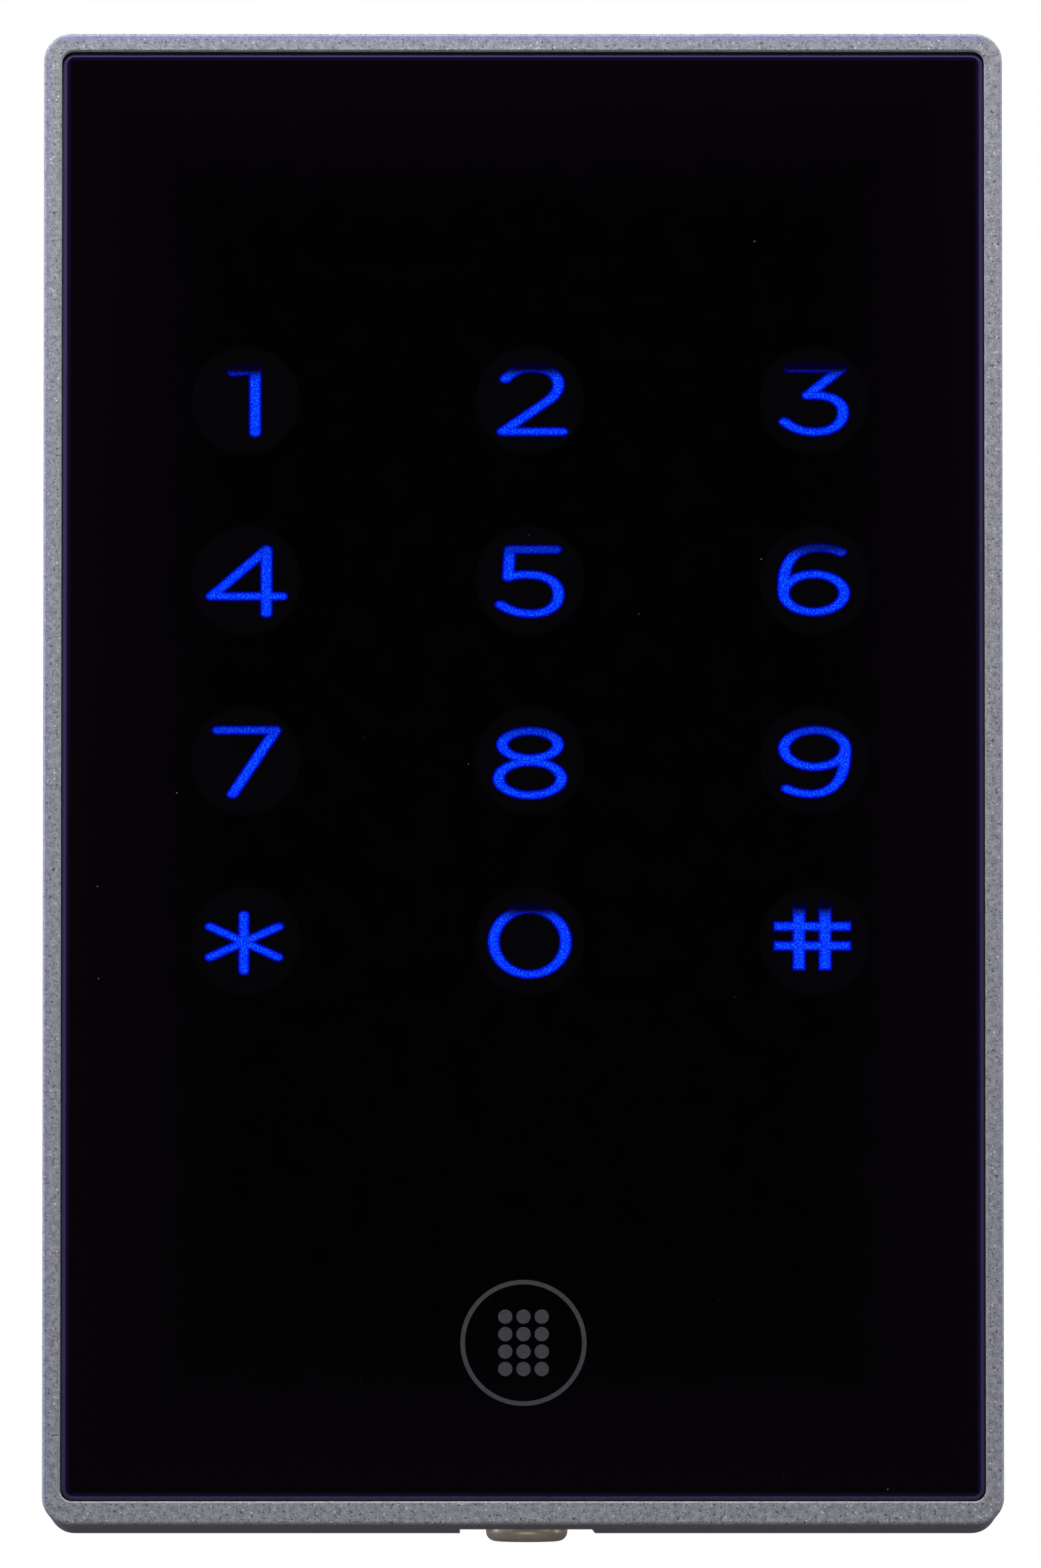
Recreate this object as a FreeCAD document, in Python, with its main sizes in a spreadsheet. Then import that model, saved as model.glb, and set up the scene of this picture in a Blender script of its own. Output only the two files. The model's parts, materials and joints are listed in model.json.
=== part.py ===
import FreeCAD, Part
import math
import os
import re

import Sketcher

# Keypad access reader: a framed touch panel on a wall bracket, locked from below by one screw.
# Frame: the wall is the plane y = 0, the face looks along -Y and +Z is up. The origin lies on the
# wall behind the middle of the face.
# "Distance" always means the distance in front of the wall, so distance d is the plane y = -d.

SIZES = [
    # the die-cast frame
    ("bezel_width", 77.0, "outside, at the front rim"),
    ("bezel_height", 120.0, "outside, at the front rim"),
    ("bezel_front", 21.0, "distance of the rim"),
    ("bezel_rear", 1.0, "distance of the rear edge"),
    ("bezel_corner", 2.25, "outside corner radius"),
    ("bezel_draft", 0.5, "degrees by which the sides lean in towards the wall"),
    ("edge_round", 0.3, "rounding of the rim's outer edge"),
    ("rim_width", 1.45, "rim beside the panel"),
    ("rim_top", 1.5, "rim above the panel"),
    ("rim_bottom", 1.9, "rim below the panel"),
    ("rim_corner", 0.95, "corner radius inside the rim"),
    ("rim_break", 0.15, "broken inner edge of the rim"),
    ("wall_thick", 3.0, "frame wall around the electronics"),
    ("skirt_thick", 1.6, "frame wall around the cover"),
    ("inner_corner", 1.0, "corner radius inside the frame"),
    ("root", 0.5, "how far a post, lug or boss runs into what it grows from"),
    # the glass panel and what lies behind it
    ("panel_recess", 0.35, "glass below the rim"),
    ("panel_gap", 0.1, "gap round the glass"),
    ("panel_thick", 2.0, "glass"),
    ("panel_bevel", 0.3, "ground front edge of the glass"),
    ("film_thick", 0.2, "adhesive frame and legend film"),
    ("adhesive_inset", 0.3, "frame pocket's wall to the adhesive"),
    ("film_overlap", 0.1, "cavity edge to the film's edge"),
    ("baffle_thick", 3.0, "light baffle"),
    ("board_thick", 1.6, "circuit board"),
    ("board_gap", 0.4, "frame wall to baffle and board"),
    # the keys: three columns and four rows of light wells
    ("key_first_x", -22.25, "left column"),
    ("key_first_z", -13.15, "lowest row"),
    ("key_pitch_x", 22.8, "column spacing"),
    ("key_pitch_z", 14.5, "row spacing"),
    ("well_radius", 4.5, "wide front of a light well"),
    ("well_seat_radius", 4.0, "narrow rear of a light well"),
    ("diffuser_radius", 4.45, "diffuser disc"),
    ("diffuser_thick", 0.8, "diffuser disc"),
    ("diffuser_room", 0.1, "room behind a diffuser in its seat"),
    ("led_width", 3.5, "key light"),
    ("led_height", 2.8, "key light"),
    ("led_thick", 1.4, "key light"),
    # the rear cover and its seal
    ("cover_back", 6.2, "distance of the cover's rear face"),
    ("cover_thick", 2.0, "cover"),
    ("cover_gap", 0.2, "frame skirt to cover"),
    ("gasket_thick", 0.8, "compressed seal"),
    ("post_reach", 8.0, "corner post, measured in from the wall"),
    ("post_top", 15.2, "distance of a corner post's end"),
    ("notch_clear", 0.4, "post to board"),
    ("pillar_radius", 2.0, "cover pillar that holds the board"),
    ("pillar_x", 27.5, "pillar place"),
    ("pillar_z", 40.0, "pillar place"),
    # small screws
    ("cover_screw_x", 31.5, "cover screw place"),
    ("cover_screw_z", 53.0, "cover screw place"),
    ("cover_screw_radius", 1.25, "cover screw shank"),
    ("cover_screw_head", 2.3, "cover screw head radius"),
    ("cover_screw_cap", 1.4, "cover screw head thickness"),
    ("cover_screw_length", 7.0, "cover screw shank"),
    ("cover_thread", 5.0, "depth of the threaded hole in a post"),
    ("board_screw_x", 28.6, "board screw place"),
    ("board_screw_z", 20.0, "board screw place"),
    ("board_screw_radius", 1.0, "board screw shank"),
    ("board_screw_head", 1.9, "board screw head radius"),
    ("board_screw_cap", 1.2, "board screw head thickness"),
    ("board_screw_length", 4.0, "board screw shank"),
    ("board_thread", 2.6, "depth of the threaded hole in the baffle"),
    ("cross_width", 0.5, "width of a small screw's cross recess"),
    ("screw_fit", 0.02, "radial room round a small screw in its thread"),
    ("screw_room", 0.15, "radial room round a small screw in a clear hole"),
    # the cable entry
    ("entry_z", 20.0, "height of the cable entry"),
    ("entry_bore", 3.0, "bore radius of the grommet"),
    ("entry_hub", 4.5, "grommet radius inside the cover"),
    ("entry_flange", 6.5, "grommet flange radius"),
    ("flange_thick", 1.0, "grommet flange"),
    # the tamper switch
    ("tamper_x", 22.0, "plunger place"),
    ("tamper_z", -8.0, "plunger place"),
    ("plunger_radius", 1.0, "plunger"),
    ("plunger_fit", 0.05, "radial room round the plunger"),
    ("plunger_hole", 1.2, "hole in the cover round the plunger"),
    ("plunger_end", 0.05, "distance of the plunger's tip, pressed in by the wall"),
    ("plunger_collar", 1.6, "collar radius"),
    ("chamber_radius", 1.7, "chamber round the collar"),
    ("collar_thick", 0.6, "collar"),
    ("plunger_travel", 1.5, "travel when the wall lets go"),
    ("tamper_side", 6.0, "switch housing, square"),
    ("tamper_end", 9.4, "distance of the housing's end"),
    ("tamper_lid", 0.5, "lid that stops the collar"),
    ("tamper_floor", 0.45, "floor under the spring"),
    ("spring_wire", 0.15, "wire radius"),
    ("spring_mean", 1.2, "mean coil radius"),
    ("spring_turns", 3.0, "coils"),
    ("spring_room", 0.02, "room at each end of the spring"),
    # the hinge at the top: a steel rod in two lugs, hung in the bracket's hooks
    ("rod_radius", 1.0, "hook rod"),
    ("rod_half", 28.0, "half the rod's length"),
    ("rod_distance", 2.55, "distance of the rod's axis"),
    ("rod_z", 57.35, "height of the rod's axis"),
    ("rod_fit", 0.05, "room round the rod in a hook"),
    ("lug_width", 3.0, "lug, along the rod"),
    ("lug_depth", 3.5, "lug, along Y"),
    ("lug_below", 1.95, "lug, below the rod's axis"),
    # the wall bracket
    ("plate_thick", 1.5, "bracket sheet"),
    ("plate_half_width", 36.3, "bracket plate"),
    ("plate_top", 57.2, "bracket plate"),
    ("plate_bottom", -57.6, "bracket plate"),
    ("shoulder_half_width", 23.5, "plate between the lugs"),
    ("shoulder_z", 54.2, "plate beside the lugs ends here"),
    ("hook_x", 18.0, "hook place"),
    ("hook_width", 10.0, "hook"),
    ("hook_thick", 1.2, "hook"),
    ("hook_lip_top", 57.6, "top of the hook's lip"),
    ("gang_half", 41.65, "half the vertical screw spacing"),
    ("round_half", 30.15, "half the horizontal screw spacing"),
    ("wall_screw_radius", 2.25, "wall screw hole"),
    ("slot_length", 9.0, "wall screw slot, end to end"),
    ("window_width", 28.0, "cable window"),
    ("window_height", 24.0, "cable window"),
    ("window_corner", 3.0, "cable window"),
    ("plunger_window", 2.5, "hole radius round the plunger"),
    # the locking screw at the bottom
    ("lock_x", 0.3, "screw place"),
    ("lock_distance", 4.65, "distance of the screw's axis"),
    ("tab_width", 9.2, "bracket tab"),
    ("tab_top", -57.2, "bracket tab"),
    ("tab_bottom", -58.7, "bracket tab"),
    ("tab_front", 7.4, "distance of the tab's front edge"),
    ("tab_slot", 1.7, "half width of the tab's open slot"),
    ("boss_width", 8.0, "screw boss on the cover"),
    ("boss_rear", 1.9, "distance of the boss's rear face"),
    ("boss_bottom", -57.0, "screw boss"),
    ("boss_top", -47.5, "screw boss"),
    ("relief_width", 10.4, "cover relief round the tab"),
    ("relief_front", 7.6, "distance of the relief's floor"),
    ("insert_radius", 2.1, "threaded insert"),
    ("insert_bore", 1.55, "threaded insert"),
    ("insert_length", 6.0, "threaded insert"),
    ("screw_hole_deep", 8.0, "depth of the hole for the screw, past the insert"),
    ("lock_radius", 1.5, "locking screw shank"),
    ("lock_end", -50.0, "upper end of the locking screw"),
    ("lock_head_radius", 3.3, "locking screw head"),
    ("lock_head_top", -59.3, "locking screw head"),
    ("lock_head_bottom", -60.6, "locking screw head"),
    ("lock_head_round", 0.8, "rounded lower edge of the head"),
    ("drive_radius", 1.3, "corner radius of the six-sided drive"),
    ("drive_depth", 0.8, "depth of the drive"),
    ("drive_pin", 0.4, "radius of the drive's centre pin"),
    ("washer_radius", 3.0, "washer"),
    ("washer_bore", 1.6, "washer"),
    ("washer_top", -58.9, "washer"),
    # the notch in the frame's lower edge
    ("bay_left", -5.1, "left side of the notch"),
    ("bay_right", 5.55, "right side at the notch's front"),
    ("bay_right_rear", 5.87, "right side at the frame's rear edge"),
    ("bay_front", 10.2, "distance of the notch's front"),
    ("bay_top", -58.6, "top of the notch in the thick wall"),
    ("bay_skirt_top", -58.2, "top of the notch through the skirt"),
    ("bay_depth", 5.0, "downward reach of the notch, past the frame"),
    # parts on the rear of the circuit board
    ("coil_half_x", 33.0, "antenna coil, outside"),
    ("coil_half_z", 47.0, "antenna coil, outside"),
    ("coil_band", 2.0, "antenna coil"),
    ("coil_thick", 1.0, "antenna coil"),
    ("coil_corner", 4.0, "antenna coil"),
    ("lead_width", 0.4, "chip lead"),
    ("lead_length", 1.0, "chip lead"),
    ("lead_pitch", 1.0, "chip lead spacing"),
    ("lead_thick", 0.6, "chip lead"),
    ("regulator_x", 17.0, "voltage regulator place"),
    ("regulator_z", -37.0, "voltage regulator place"),
    ("regulator_width", 6.6, "voltage regulator"),
    ("regulator_height", 6.1, "voltage regulator"),
    ("regulator_thick", 2.3, "voltage regulator"),
    ("tongue_width", 5.4, "voltage regulator's cooling tongue"),
    ("tongue_height", 2.0, "voltage regulator's cooling tongue"),
    ("tongue_thick", 0.6, "voltage regulator's cooling tongue"),
    ("can_first_x", -16.0, "left capacitor"),
    ("can_pitch", 8.0, "capacitor spacing"),
    ("can_z", -40.0, "capacitor place"),
    ("can_radius", 3.15, "capacitor can"),
    ("can_tall", 4.5, "capacitor can"),
    ("can_base", 6.6, "capacitor base, square"),
    ("can_base_thick", 0.7, "capacitor base"),
    ("crystal_x", 15.0, "crystal place"),
    ("crystal_z", 9.0, "crystal place"),
    ("crystal_width", 10.0, "crystal can"),
    ("crystal_height", 3.8, "crystal can"),
    ("crystal_thick", 3.5, "crystal can"),
    ("flange_out", 0.5, "crystal flange, past the can"),
    ("flange_up", 0.4, "crystal flange, past the can"),
    ("crystal_flange", 0.6, "crystal flange thickness"),
    ("chip_first_x", -14.0, "left resistor"),
    ("chip_pitch", 2.4, "resistor spacing"),
    ("chip_low_z", -10.0, "lower row of resistors"),
    ("chip_high_z", 13.5, "upper row of resistors"),
    ("chip_width", 0.9, "resistor"),
    ("chip_height", 1.6, "resistor"),
    ("chip_thick", 0.5, "resistor"),
    ("buzzer_x", 17.0, "buzzer place"),
    ("buzzer_z", 27.0, "buzzer place"),
    ("buzzer_radius", 6.0, "buzzer"),
    ("buzzer_thick", 5.0, "buzzer"),
    ("sound_radius", 1.0, "buzzer's sound hole"),
    ("sound_depth", 1.5, "buzzer's sound hole"),
    ("header_z", 37.0, "wiring header place"),
    ("header_width", 22.0, "wiring header"),
    ("header_height", 5.8, "wiring header"),
    ("header_thick", 5.0, "wiring header"),
    ("header_wall", 0.8, "wiring header's wall and floor"),
    ("header_key", 5.0, "slot for the plug's latch"),
    ("header_key_depth", 2.5, "slot for the plug's latch"),
    ("header_pin", 0.6, "header pin, square"),
    ("header_pin_long", 3.4, "header pin, above the floor"),
    ("header_pitch", 2.5, "header pin spacing"),
]

# Distances that follow from the stack of layers, from the glass back to the cover.
PANEL_FRONT = "(bezel_front - panel_recess)"
PANEL_BACK = f"({PANEL_FRONT} - panel_thick)"
LEDGE = f"({PANEL_BACK} - film_thick)"
BOARD_FRONT = f"({LEDGE} - baffle_thick)"
BOARD_BACK = f"({BOARD_FRONT} - board_thick)"
COVER_FRONT = "(cover_back + cover_thick)"
SEAT = f"({COVER_FRONT} + gasket_thick)"
CAVITY_WIDTH = "(bezel_width - 2 * wall_thick)"
CAVITY_HEIGHT = "(bezel_height - 2 * wall_thick)"
RECESS_WIDTH = "(bezel_width - 2 * skirt_thick)"
RECESS_HEIGHT = "(bezel_height - 2 * skirt_thick)"
# The rim is deeper below the panel than above it, so the panel's centre sits above the frame's.
OPENING_WIDTH = "(bezel_width - 2 * rim_width)"
OPENING_HEIGHT = "(bezel_height - rim_top - rim_bottom)"
OPENING_LIFT = "((rim_bottom - rim_top) / 2)"

doc = FreeCAD.newDocument("AccessReader")
sheet = doc.addObject("Spreadsheet::Sheet", "Sizes")
for row, (alias, value, note) in enumerate(SIZES, start=1):
    sheet.set(f"A{row}", alias)
    sheet.set(f"B{row}", str(value))
    sheet.setAlias(f"B{row}", alias)
    sheet.set(f"C{row}", note)
doc.recompute()

nodes = []


# ---- expressions -------------------------------------------------------------------------------


def bind(item, prop, text):
    """Bind a property to an expression in the sheet's names."""
    item.setExpression(prop, re.sub(r"[a-z]\w*", lambda word: "Sizes." + word.group(0), text))


def amount(text):
    """The present value of such an expression."""
    return float(sheet.evalExpression(text))


def node(item, label):
    """Register a finished sub-part under its node name."""
    item.Label = label
    nodes.append(item)
    return item


# ---- PartDesign helpers ------------------------------------------------------------------------


def new_body(label):
    body = doc.addObject("PartDesign::Body", label)
    return node(body, label)


def plane_sketch(body, role, offset, shift_x="0", shift_y="0"):
    """A sketch on one of the body's origin planes, moved along its normal and within its plane."""
    sketch = body.newObject("Sketcher::SketchObject", "Sketch")
    plane = next(item for item in body.Origin.OriginFeatures if item.Role == role)
    sketch.AttachmentSupport = [(plane, "")]
    sketch.MapMode = "FlatFace"
    bind(sketch, "AttachmentOffset.Base.x", shift_x)
    bind(sketch, "AttachmentOffset.Base.y", shift_y)
    bind(sketch, "AttachmentOffset.Base.z", offset)
    return sketch


def front_sketch(body, distance, x="0", z="0"):
    """A sketch parallel to the wall, whose normal points away from it: its axes are X and Z."""
    return plane_sketch(body, "XZ_Plane", distance, x, z)


def place(sketch, shape, point, x, y):
    """Fix a sketch point by two dimensions from the sketch's origin."""
    for kind, axis, text in (("DistanceX", -2, x), ("DistanceY", -1, y)):
        value = amount(text)
        if abs(value) < 1e-9:
            sketch.addConstraint(Sketcher.Constraint("PointOnObject", shape, point, axis))
            continue
        ends = (-1, 1, shape, point) if value > 0 else (shape, point, -1, 1)
        index = sketch.addConstraint(Sketcher.Constraint(kind, *ends, abs(value)))
        bind(sketch, f"Constraints[{index}]", text if value > 0 else f"-({text})")


def draw_circle(sketch, radius, x="0", y="0"):
    centre = FreeCAD.Vector(amount(x), amount(y), 0)
    up = FreeCAD.Vector(0, 0, 1)
    index = sketch.addGeometry(Part.Circle(centre, up, amount(radius)), False)
    place(sketch, index, 3, x, y)
    size = sketch.addConstraint(Sketcher.Constraint("Radius", index, amount(radius)))
    bind(sketch, f"Constraints[{size}]", radius)


def draw_polygon(sketch, corners):
    """A closed outline of straight lines through corners given as pairs of expressions."""
    points = [FreeCAD.Vector(amount(x), amount(y), 0) for x, y in corners]
    first = sketch.GeometryCount
    count = len(points)
    for index, start in enumerate(points):
        sketch.addGeometry(Part.LineSegment(start, points[(index + 1) % count]), False)
    for index, (x, y) in enumerate(corners):
        line = first + index
        following = first + (index + 1) % count
        sketch.addConstraint(Sketcher.Constraint("Coincident", line, 2, following, 1))
        place(sketch, line, 1, x, y)


def draw_rectangle(sketch, left, right, low, high):
    draw_polygon(sketch, [(left, low), (right, low), (right, high), (left, high)])


def draw_rounded(sketch, width, height, radius):
    """A rectangle with rounded corners, centred on the sketch's origin."""
    half_x = amount(width) / 2
    half_y = amount(height) / 2
    corner = amount(radius)
    up = FreeCAD.Vector(0, 0, 1)
    signs = [(1, -1), (1, 1), (-1, 1), (-1, -1)]
    centres = [FreeCAD.Vector(i * (half_x - corner), j * (half_y - corner), 0) for i, j in signs]
    first = sketch.GeometryCount
    for index, centre in enumerate(centres):
        start_angle = math.pi / 2 * (index - 1)
        circle = Part.Circle(centre, up, corner)
        arc = Part.ArcOfCircle(circle, start_angle, start_angle + math.pi / 2)
        sketch.addGeometry(arc, False)
    for index in range(4):
        here = sketch.Geometry[first + index]
        following = sketch.Geometry[first + (index + 1) % 4]
        sketch.addGeometry(Part.LineSegment(here.EndPoint, following.StartPoint), False)
    for index in range(4):
        line = first + 4 + index
        sketch.addConstraint(Sketcher.Constraint("Tangent", first + index, 2, line, 1))
        sketch.addConstraint(Sketcher.Constraint("Tangent", line, 2, first + (index + 1) % 4, 1))
    for index in range(1, 4):
        sketch.addConstraint(Sketcher.Constraint("Equal", first, first + index))
    sketch.addConstraint(Sketcher.Constraint("Vertical", first + 4))
    sketch.addConstraint(Sketcher.Constraint("Symmetric", first, 3, first + 2, 3, -1, 1))
    size = sketch.addConstraint(Sketcher.Constraint("Radius", first, corner))
    bind(sketch, f"Constraints[{size}]", radius)
    across = Sketcher.Constraint("DistanceX", first + 2, 3, first, 3, 2 * (half_x - corner))
    bind(sketch, f"Constraints[{sketch.addConstraint(across)}]", f"{width} - 2 * ({radius})")
    along = Sketcher.Constraint("DistanceY", first, 3, first + 2, 3, 2 * (half_y - corner))
    bind(sketch, f"Constraints[{sketch.addConstraint(along)}]", f"{height} - 2 * ({radius})")


def pad(body, sketch, length, away=True):
    """Add material along the sketch's normal, or against it."""
    feature = body.newObject("PartDesign::Pad", "Pad")
    feature.Profile = sketch
    bind(feature, "Length", length)
    feature.Reversed = not away
    doc.recompute()
    return feature


def pocket(body, sketch, depth, away=False):
    """Remove material against the sketch's normal, or along it, and check that some went."""
    before = body.Shape.Volume
    feature = body.newObject("PartDesign::Pocket", "Pocket")
    feature.Profile = sketch
    bind(feature, "Length", depth)
    feature.Reversed = away
    doc.recompute()
    if body.Shape.Volume >= before:
        raise RuntimeError(f"a pocket of {body.Label} removed nothing")
    return feature


def dress(body, kind, prop, size, chosen):
    """Fillet or chamfer the edges of the body's tip that pass the test."""
    base = body.Tip
    names = [f"Edge{n}" for n, edge in enumerate(base.Shape.Edges, start=1) if chosen(edge)]
    feature = body.newObject(kind, "Dress")
    feature.Base = (base, names)
    bind(feature, prop, size)
    doc.recompute()
    return feature


def in_plane(edge, distance):
    """Whether an edge lies wholly at this distance from the wall."""
    box = edge.BoundBox
    return abs(box.YMin + distance) < 1e-4 and abs(box.YMax + distance) < 1e-4


# ---- Part helpers ------------------------------------------------------------------------------


def move(item, x, distance, z):
    bind(item, "Placement.Base.x", x)
    bind(item, "Placement.Base.y", f"-({distance})")
    bind(item, "Placement.Base.z", z)


def block(width, depth, height, x, distance, z):
    """A block centred on x and z, whose rear face is at the given distance."""
    item = doc.addObject("Part::Box", "Block")
    bind(item, "Length", width)
    bind(item, "Width", depth)
    bind(item, "Height", height)
    move(item, f"{x} - ({width}) / 2", f"{distance} + {depth}", f"{z} - ({height}) / 2")
    return item


AXES = {
    "out": FreeCAD.Rotation(FreeCAD.Vector(1, 0, 0), 90),
    "up": FreeCAD.Rotation(),
    "right": FreeCAD.Rotation(FreeCAD.Vector(0, 1, 0), 90),
}


def rod(radius, length, x, distance, z, axis="out"):
    """A cylinder that starts at the given point and runs away from the wall, up or to the right."""
    item = doc.addObject("Part::Cylinder", "Rod")
    item.Placement.Rotation = AXES[axis]
    bind(item, "Radius", radius)
    bind(item, "Height", length)
    move(item, x, distance, z)
    return item


def fuse(*items):
    result = doc.addObject("Part::MultiFuse", "Fusion")
    result.Shapes = list(items)
    return result


def cut(base, *tools):
    result = doc.addObject("Part::Cut", "Cut")
    result.Base = base
    result.Tool = tools[0] if len(tools) == 1 else fuse(*tools)
    return result


def group(items):
    """Separate solids that share one node."""
    result = doc.addObject("Part::Compound", "Group")
    result.Links = list(items)
    return result


def on_board(width, height, thick, x, z):
    """A block that stands on the rear of the circuit board."""
    return block(width, thick, height, x, f"{BOARD_BACK} - {thick}", z)


def four_corners(x, z):
    """The four places at plus and minus x and z, as expressions."""
    return [(f"{i} * {x}", f"{j} * {z}") for i in (-1, 1) for j in (-1, 1)]


def key_places():
    """The twelve key centres, as expressions."""
    for row in range(4):
        for column in range(3):
            yield f"key_first_x + {column} * key_pitch_x", f"key_first_z + {row} * key_pitch_z"


def small_screw(x, z, radius, head_radius, head_thick, head_distance, length):
    """A pan-head screw whose head faces the wall, with a cross recess through two thirds of the head."""
    head = rod(head_radius, head_thick, x, head_distance, z)
    shank = rod(radius, length, x, f"{head_distance} + {head_thick}", z)
    slots = []
    for width, height in (("cross_width", head_radius), (head_radius, "cross_width")):
        slots.append(block(width, f"{head_thick} * 2 / 3", height, x, head_distance, z))
    return cut(fuse(head, shank), *slots)


# ---- the frame ---------------------------------------------------------------------------------


def make_front_bezel():
    """The die-cast frame: rim, glass pocket, cavity, cover recess, posts, lugs and screw notch."""
    body = new_body("front_bezel")
    outline = front_sketch(body, "bezel_front")
    draw_rounded(outline, "bezel_width", "bezel_height", "bezel_corner")
    shell = pad(body, outline, "bezel_front - bezel_rear", away=False)
    bind(shell, "TaperAngle", "-bezel_draft")
    doc.recompute()
    front = amount("bezel_front")
    dress(body, "PartDesign::Fillet", "Radius", "edge_round", lambda edge: in_plane(edge, front))

    opening = front_sketch(body, "bezel_front", "0", OPENING_LIFT)
    draw_rounded(opening, OPENING_WIDTH, OPENING_HEIGHT, "rim_corner")
    pocket(body, opening, f"bezel_front - {LEDGE}")
    inside = amount(f"{OPENING_WIDTH} / 2") + 1e-3
    dress(
        body,
        "PartDesign::Chamfer",
        "Size",
        "rim_break",
        lambda edge: in_plane(edge, front) and edge.BoundBox.XMax < inside,
    )

    cavity = front_sketch(body, LEDGE)
    draw_rounded(cavity, CAVITY_WIDTH, CAVITY_HEIGHT, "inner_corner")
    pocket(body, cavity, LEDGE)
    recess = front_sketch(body, SEAT)
    draw_rounded(recess, RECESS_WIDTH, RECESS_HEIGHT, "inner_corner")
    pocket(body, recess, SEAT)

    posts = front_sketch(body, SEAT)
    near_x = f"({CAVITY_WIDTH} / 2 - post_reach)"
    far_x = f"({CAVITY_WIDTH} / 2 + root)"
    near_z = f"({CAVITY_HEIGHT} / 2 - post_reach)"
    far_z = f"({CAVITY_HEIGHT} / 2 + root)"
    for low_z, high_z in ((f"-{far_z}", f"-{near_z}"), (near_z, far_z)):
        draw_rectangle(posts, f"-{far_x}", f"-{near_x}", low_z, high_z)
        draw_rectangle(posts, near_x, far_x, low_z, high_z)
    pad(body, posts, f"post_top - {SEAT}")
    threads = front_sketch(body, SEAT)
    for x, z in four_corners("cover_screw_x", "cover_screw_z"):
        draw_circle(threads, "cover_screw_radius + screw_fit", x, z)
    pocket(body, threads, "cover_thread", away=True)

    lug_low = "rod_z - lug_below"
    lug_high = f"{RECESS_HEIGHT} / 2 + root"
    for left in ("-rod_half", "rod_half - lug_width"):
        lug = plane_sketch(body, "YZ_Plane", left)
        draw_rectangle(lug, "-bezel_rear - lug_depth", "-bezel_rear", lug_low, lug_high)
        pad(body, lug, "lug_width")
    bore = plane_sketch(body, "YZ_Plane", "-rod_half")
    draw_circle(bore, "rod_radius", "-rod_distance", "rod_z")
    pocket(body, bore, "2 * rod_half", away=True)

    for top, deep in (("bay_top", "bay_front"), ("bay_skirt_top", SEAT)):
        bay = plane_sketch(body, "XY_Plane", top)
        left_side = [("bay_left", "0"), ("bay_left", f"-{deep}")]
        right_side = [("bay_right", f"-{deep}"), ("bay_right_rear", "0")]
        draw_polygon(bay, left_side + right_side)
        pocket(body, bay, "bay_depth")


# ---- the glass and the layers behind it --------------------------------------------------------


def make_touch_panel():
    body = new_body("touch_panel")
    outline = front_sketch(body, PANEL_BACK, "0", OPENING_LIFT)
    width = f"{OPENING_WIDTH} - 2 * panel_gap"
    height = f"{OPENING_HEIGHT} - 2 * panel_gap"
    draw_rounded(outline, width, height, "rim_corner")
    pad(body, outline, "panel_thick")
    front = amount(PANEL_FRONT)
    dress(body, "PartDesign::Chamfer", "Size", "panel_bevel", lambda edge: in_plane(edge, front))


def make_panel_adhesive():
    """The adhesive frame between the glass and the ledge."""
    width = f"{OPENING_WIDTH} - 2 * adhesive_inset"
    height = f"{OPENING_HEIGHT} - 2 * adhesive_inset"
    outer = block(width, "film_thick", height, "0", LEDGE, OPENING_LIFT)
    width = f"{CAVITY_WIDTH} - film_overlap"
    height = f"{CAVITY_HEIGHT} - film_overlap"
    inner = block(width, "film_thick", height, "0", LEDGE, "0")
    node(cut(outer, inner), "panel_adhesive")


def make_legend_film():
    width = f"{CAVITY_WIDTH} - 3 * film_overlap"
    height = f"{CAVITY_HEIGHT} - 3 * film_overlap"
    node(block(width, "film_thick", height, "0", LEDGE, "0"), "legend_film")


def make_light_baffle():
    """An opaque plate with a stepped light well behind each key."""
    body = new_body("light_baffle")
    outline = front_sketch(body, BOARD_FRONT)
    draw_rounded(
        outline, f"{CAVITY_WIDTH} - 2 * board_gap", f"{CAVITY_HEIGHT} - 2 * board_gap", "inner_corner"
    )
    pad(body, outline, "baffle_thick")
    steps = (("well_seat_radius", "baffle_thick"), ("well_radius", "diffuser_thick + diffuser_room"))
    for radius, depth in steps:
        wells = front_sketch(body, LEDGE)
        for x, z in key_places():
            draw_circle(wells, radius, x, z)
        pocket(body, wells, depth)
    threads = front_sketch(body, BOARD_FRONT)
    for x, z in four_corners("board_screw_x", "board_screw_z"):
        draw_circle(threads, "board_screw_radius + screw_fit", x, z)
    pocket(body, threads, "board_thread", away=True)


def make_key_diffusers():
    start = f"{LEDGE} - diffuser_thick"
    discs = [rod("diffuser_radius", "diffuser_thick", x, start, z) for x, z in key_places()]
    node(group(discs), "key_diffusers")


def make_key_leds():
    lamps = [block("led_width", "led_thick", "led_height", x, BOARD_FRONT, z) for x, z in key_places()]
    node(group(lamps), "key_leds")


# ---- the circuit board and its parts -----------------------------------------------------------


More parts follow.
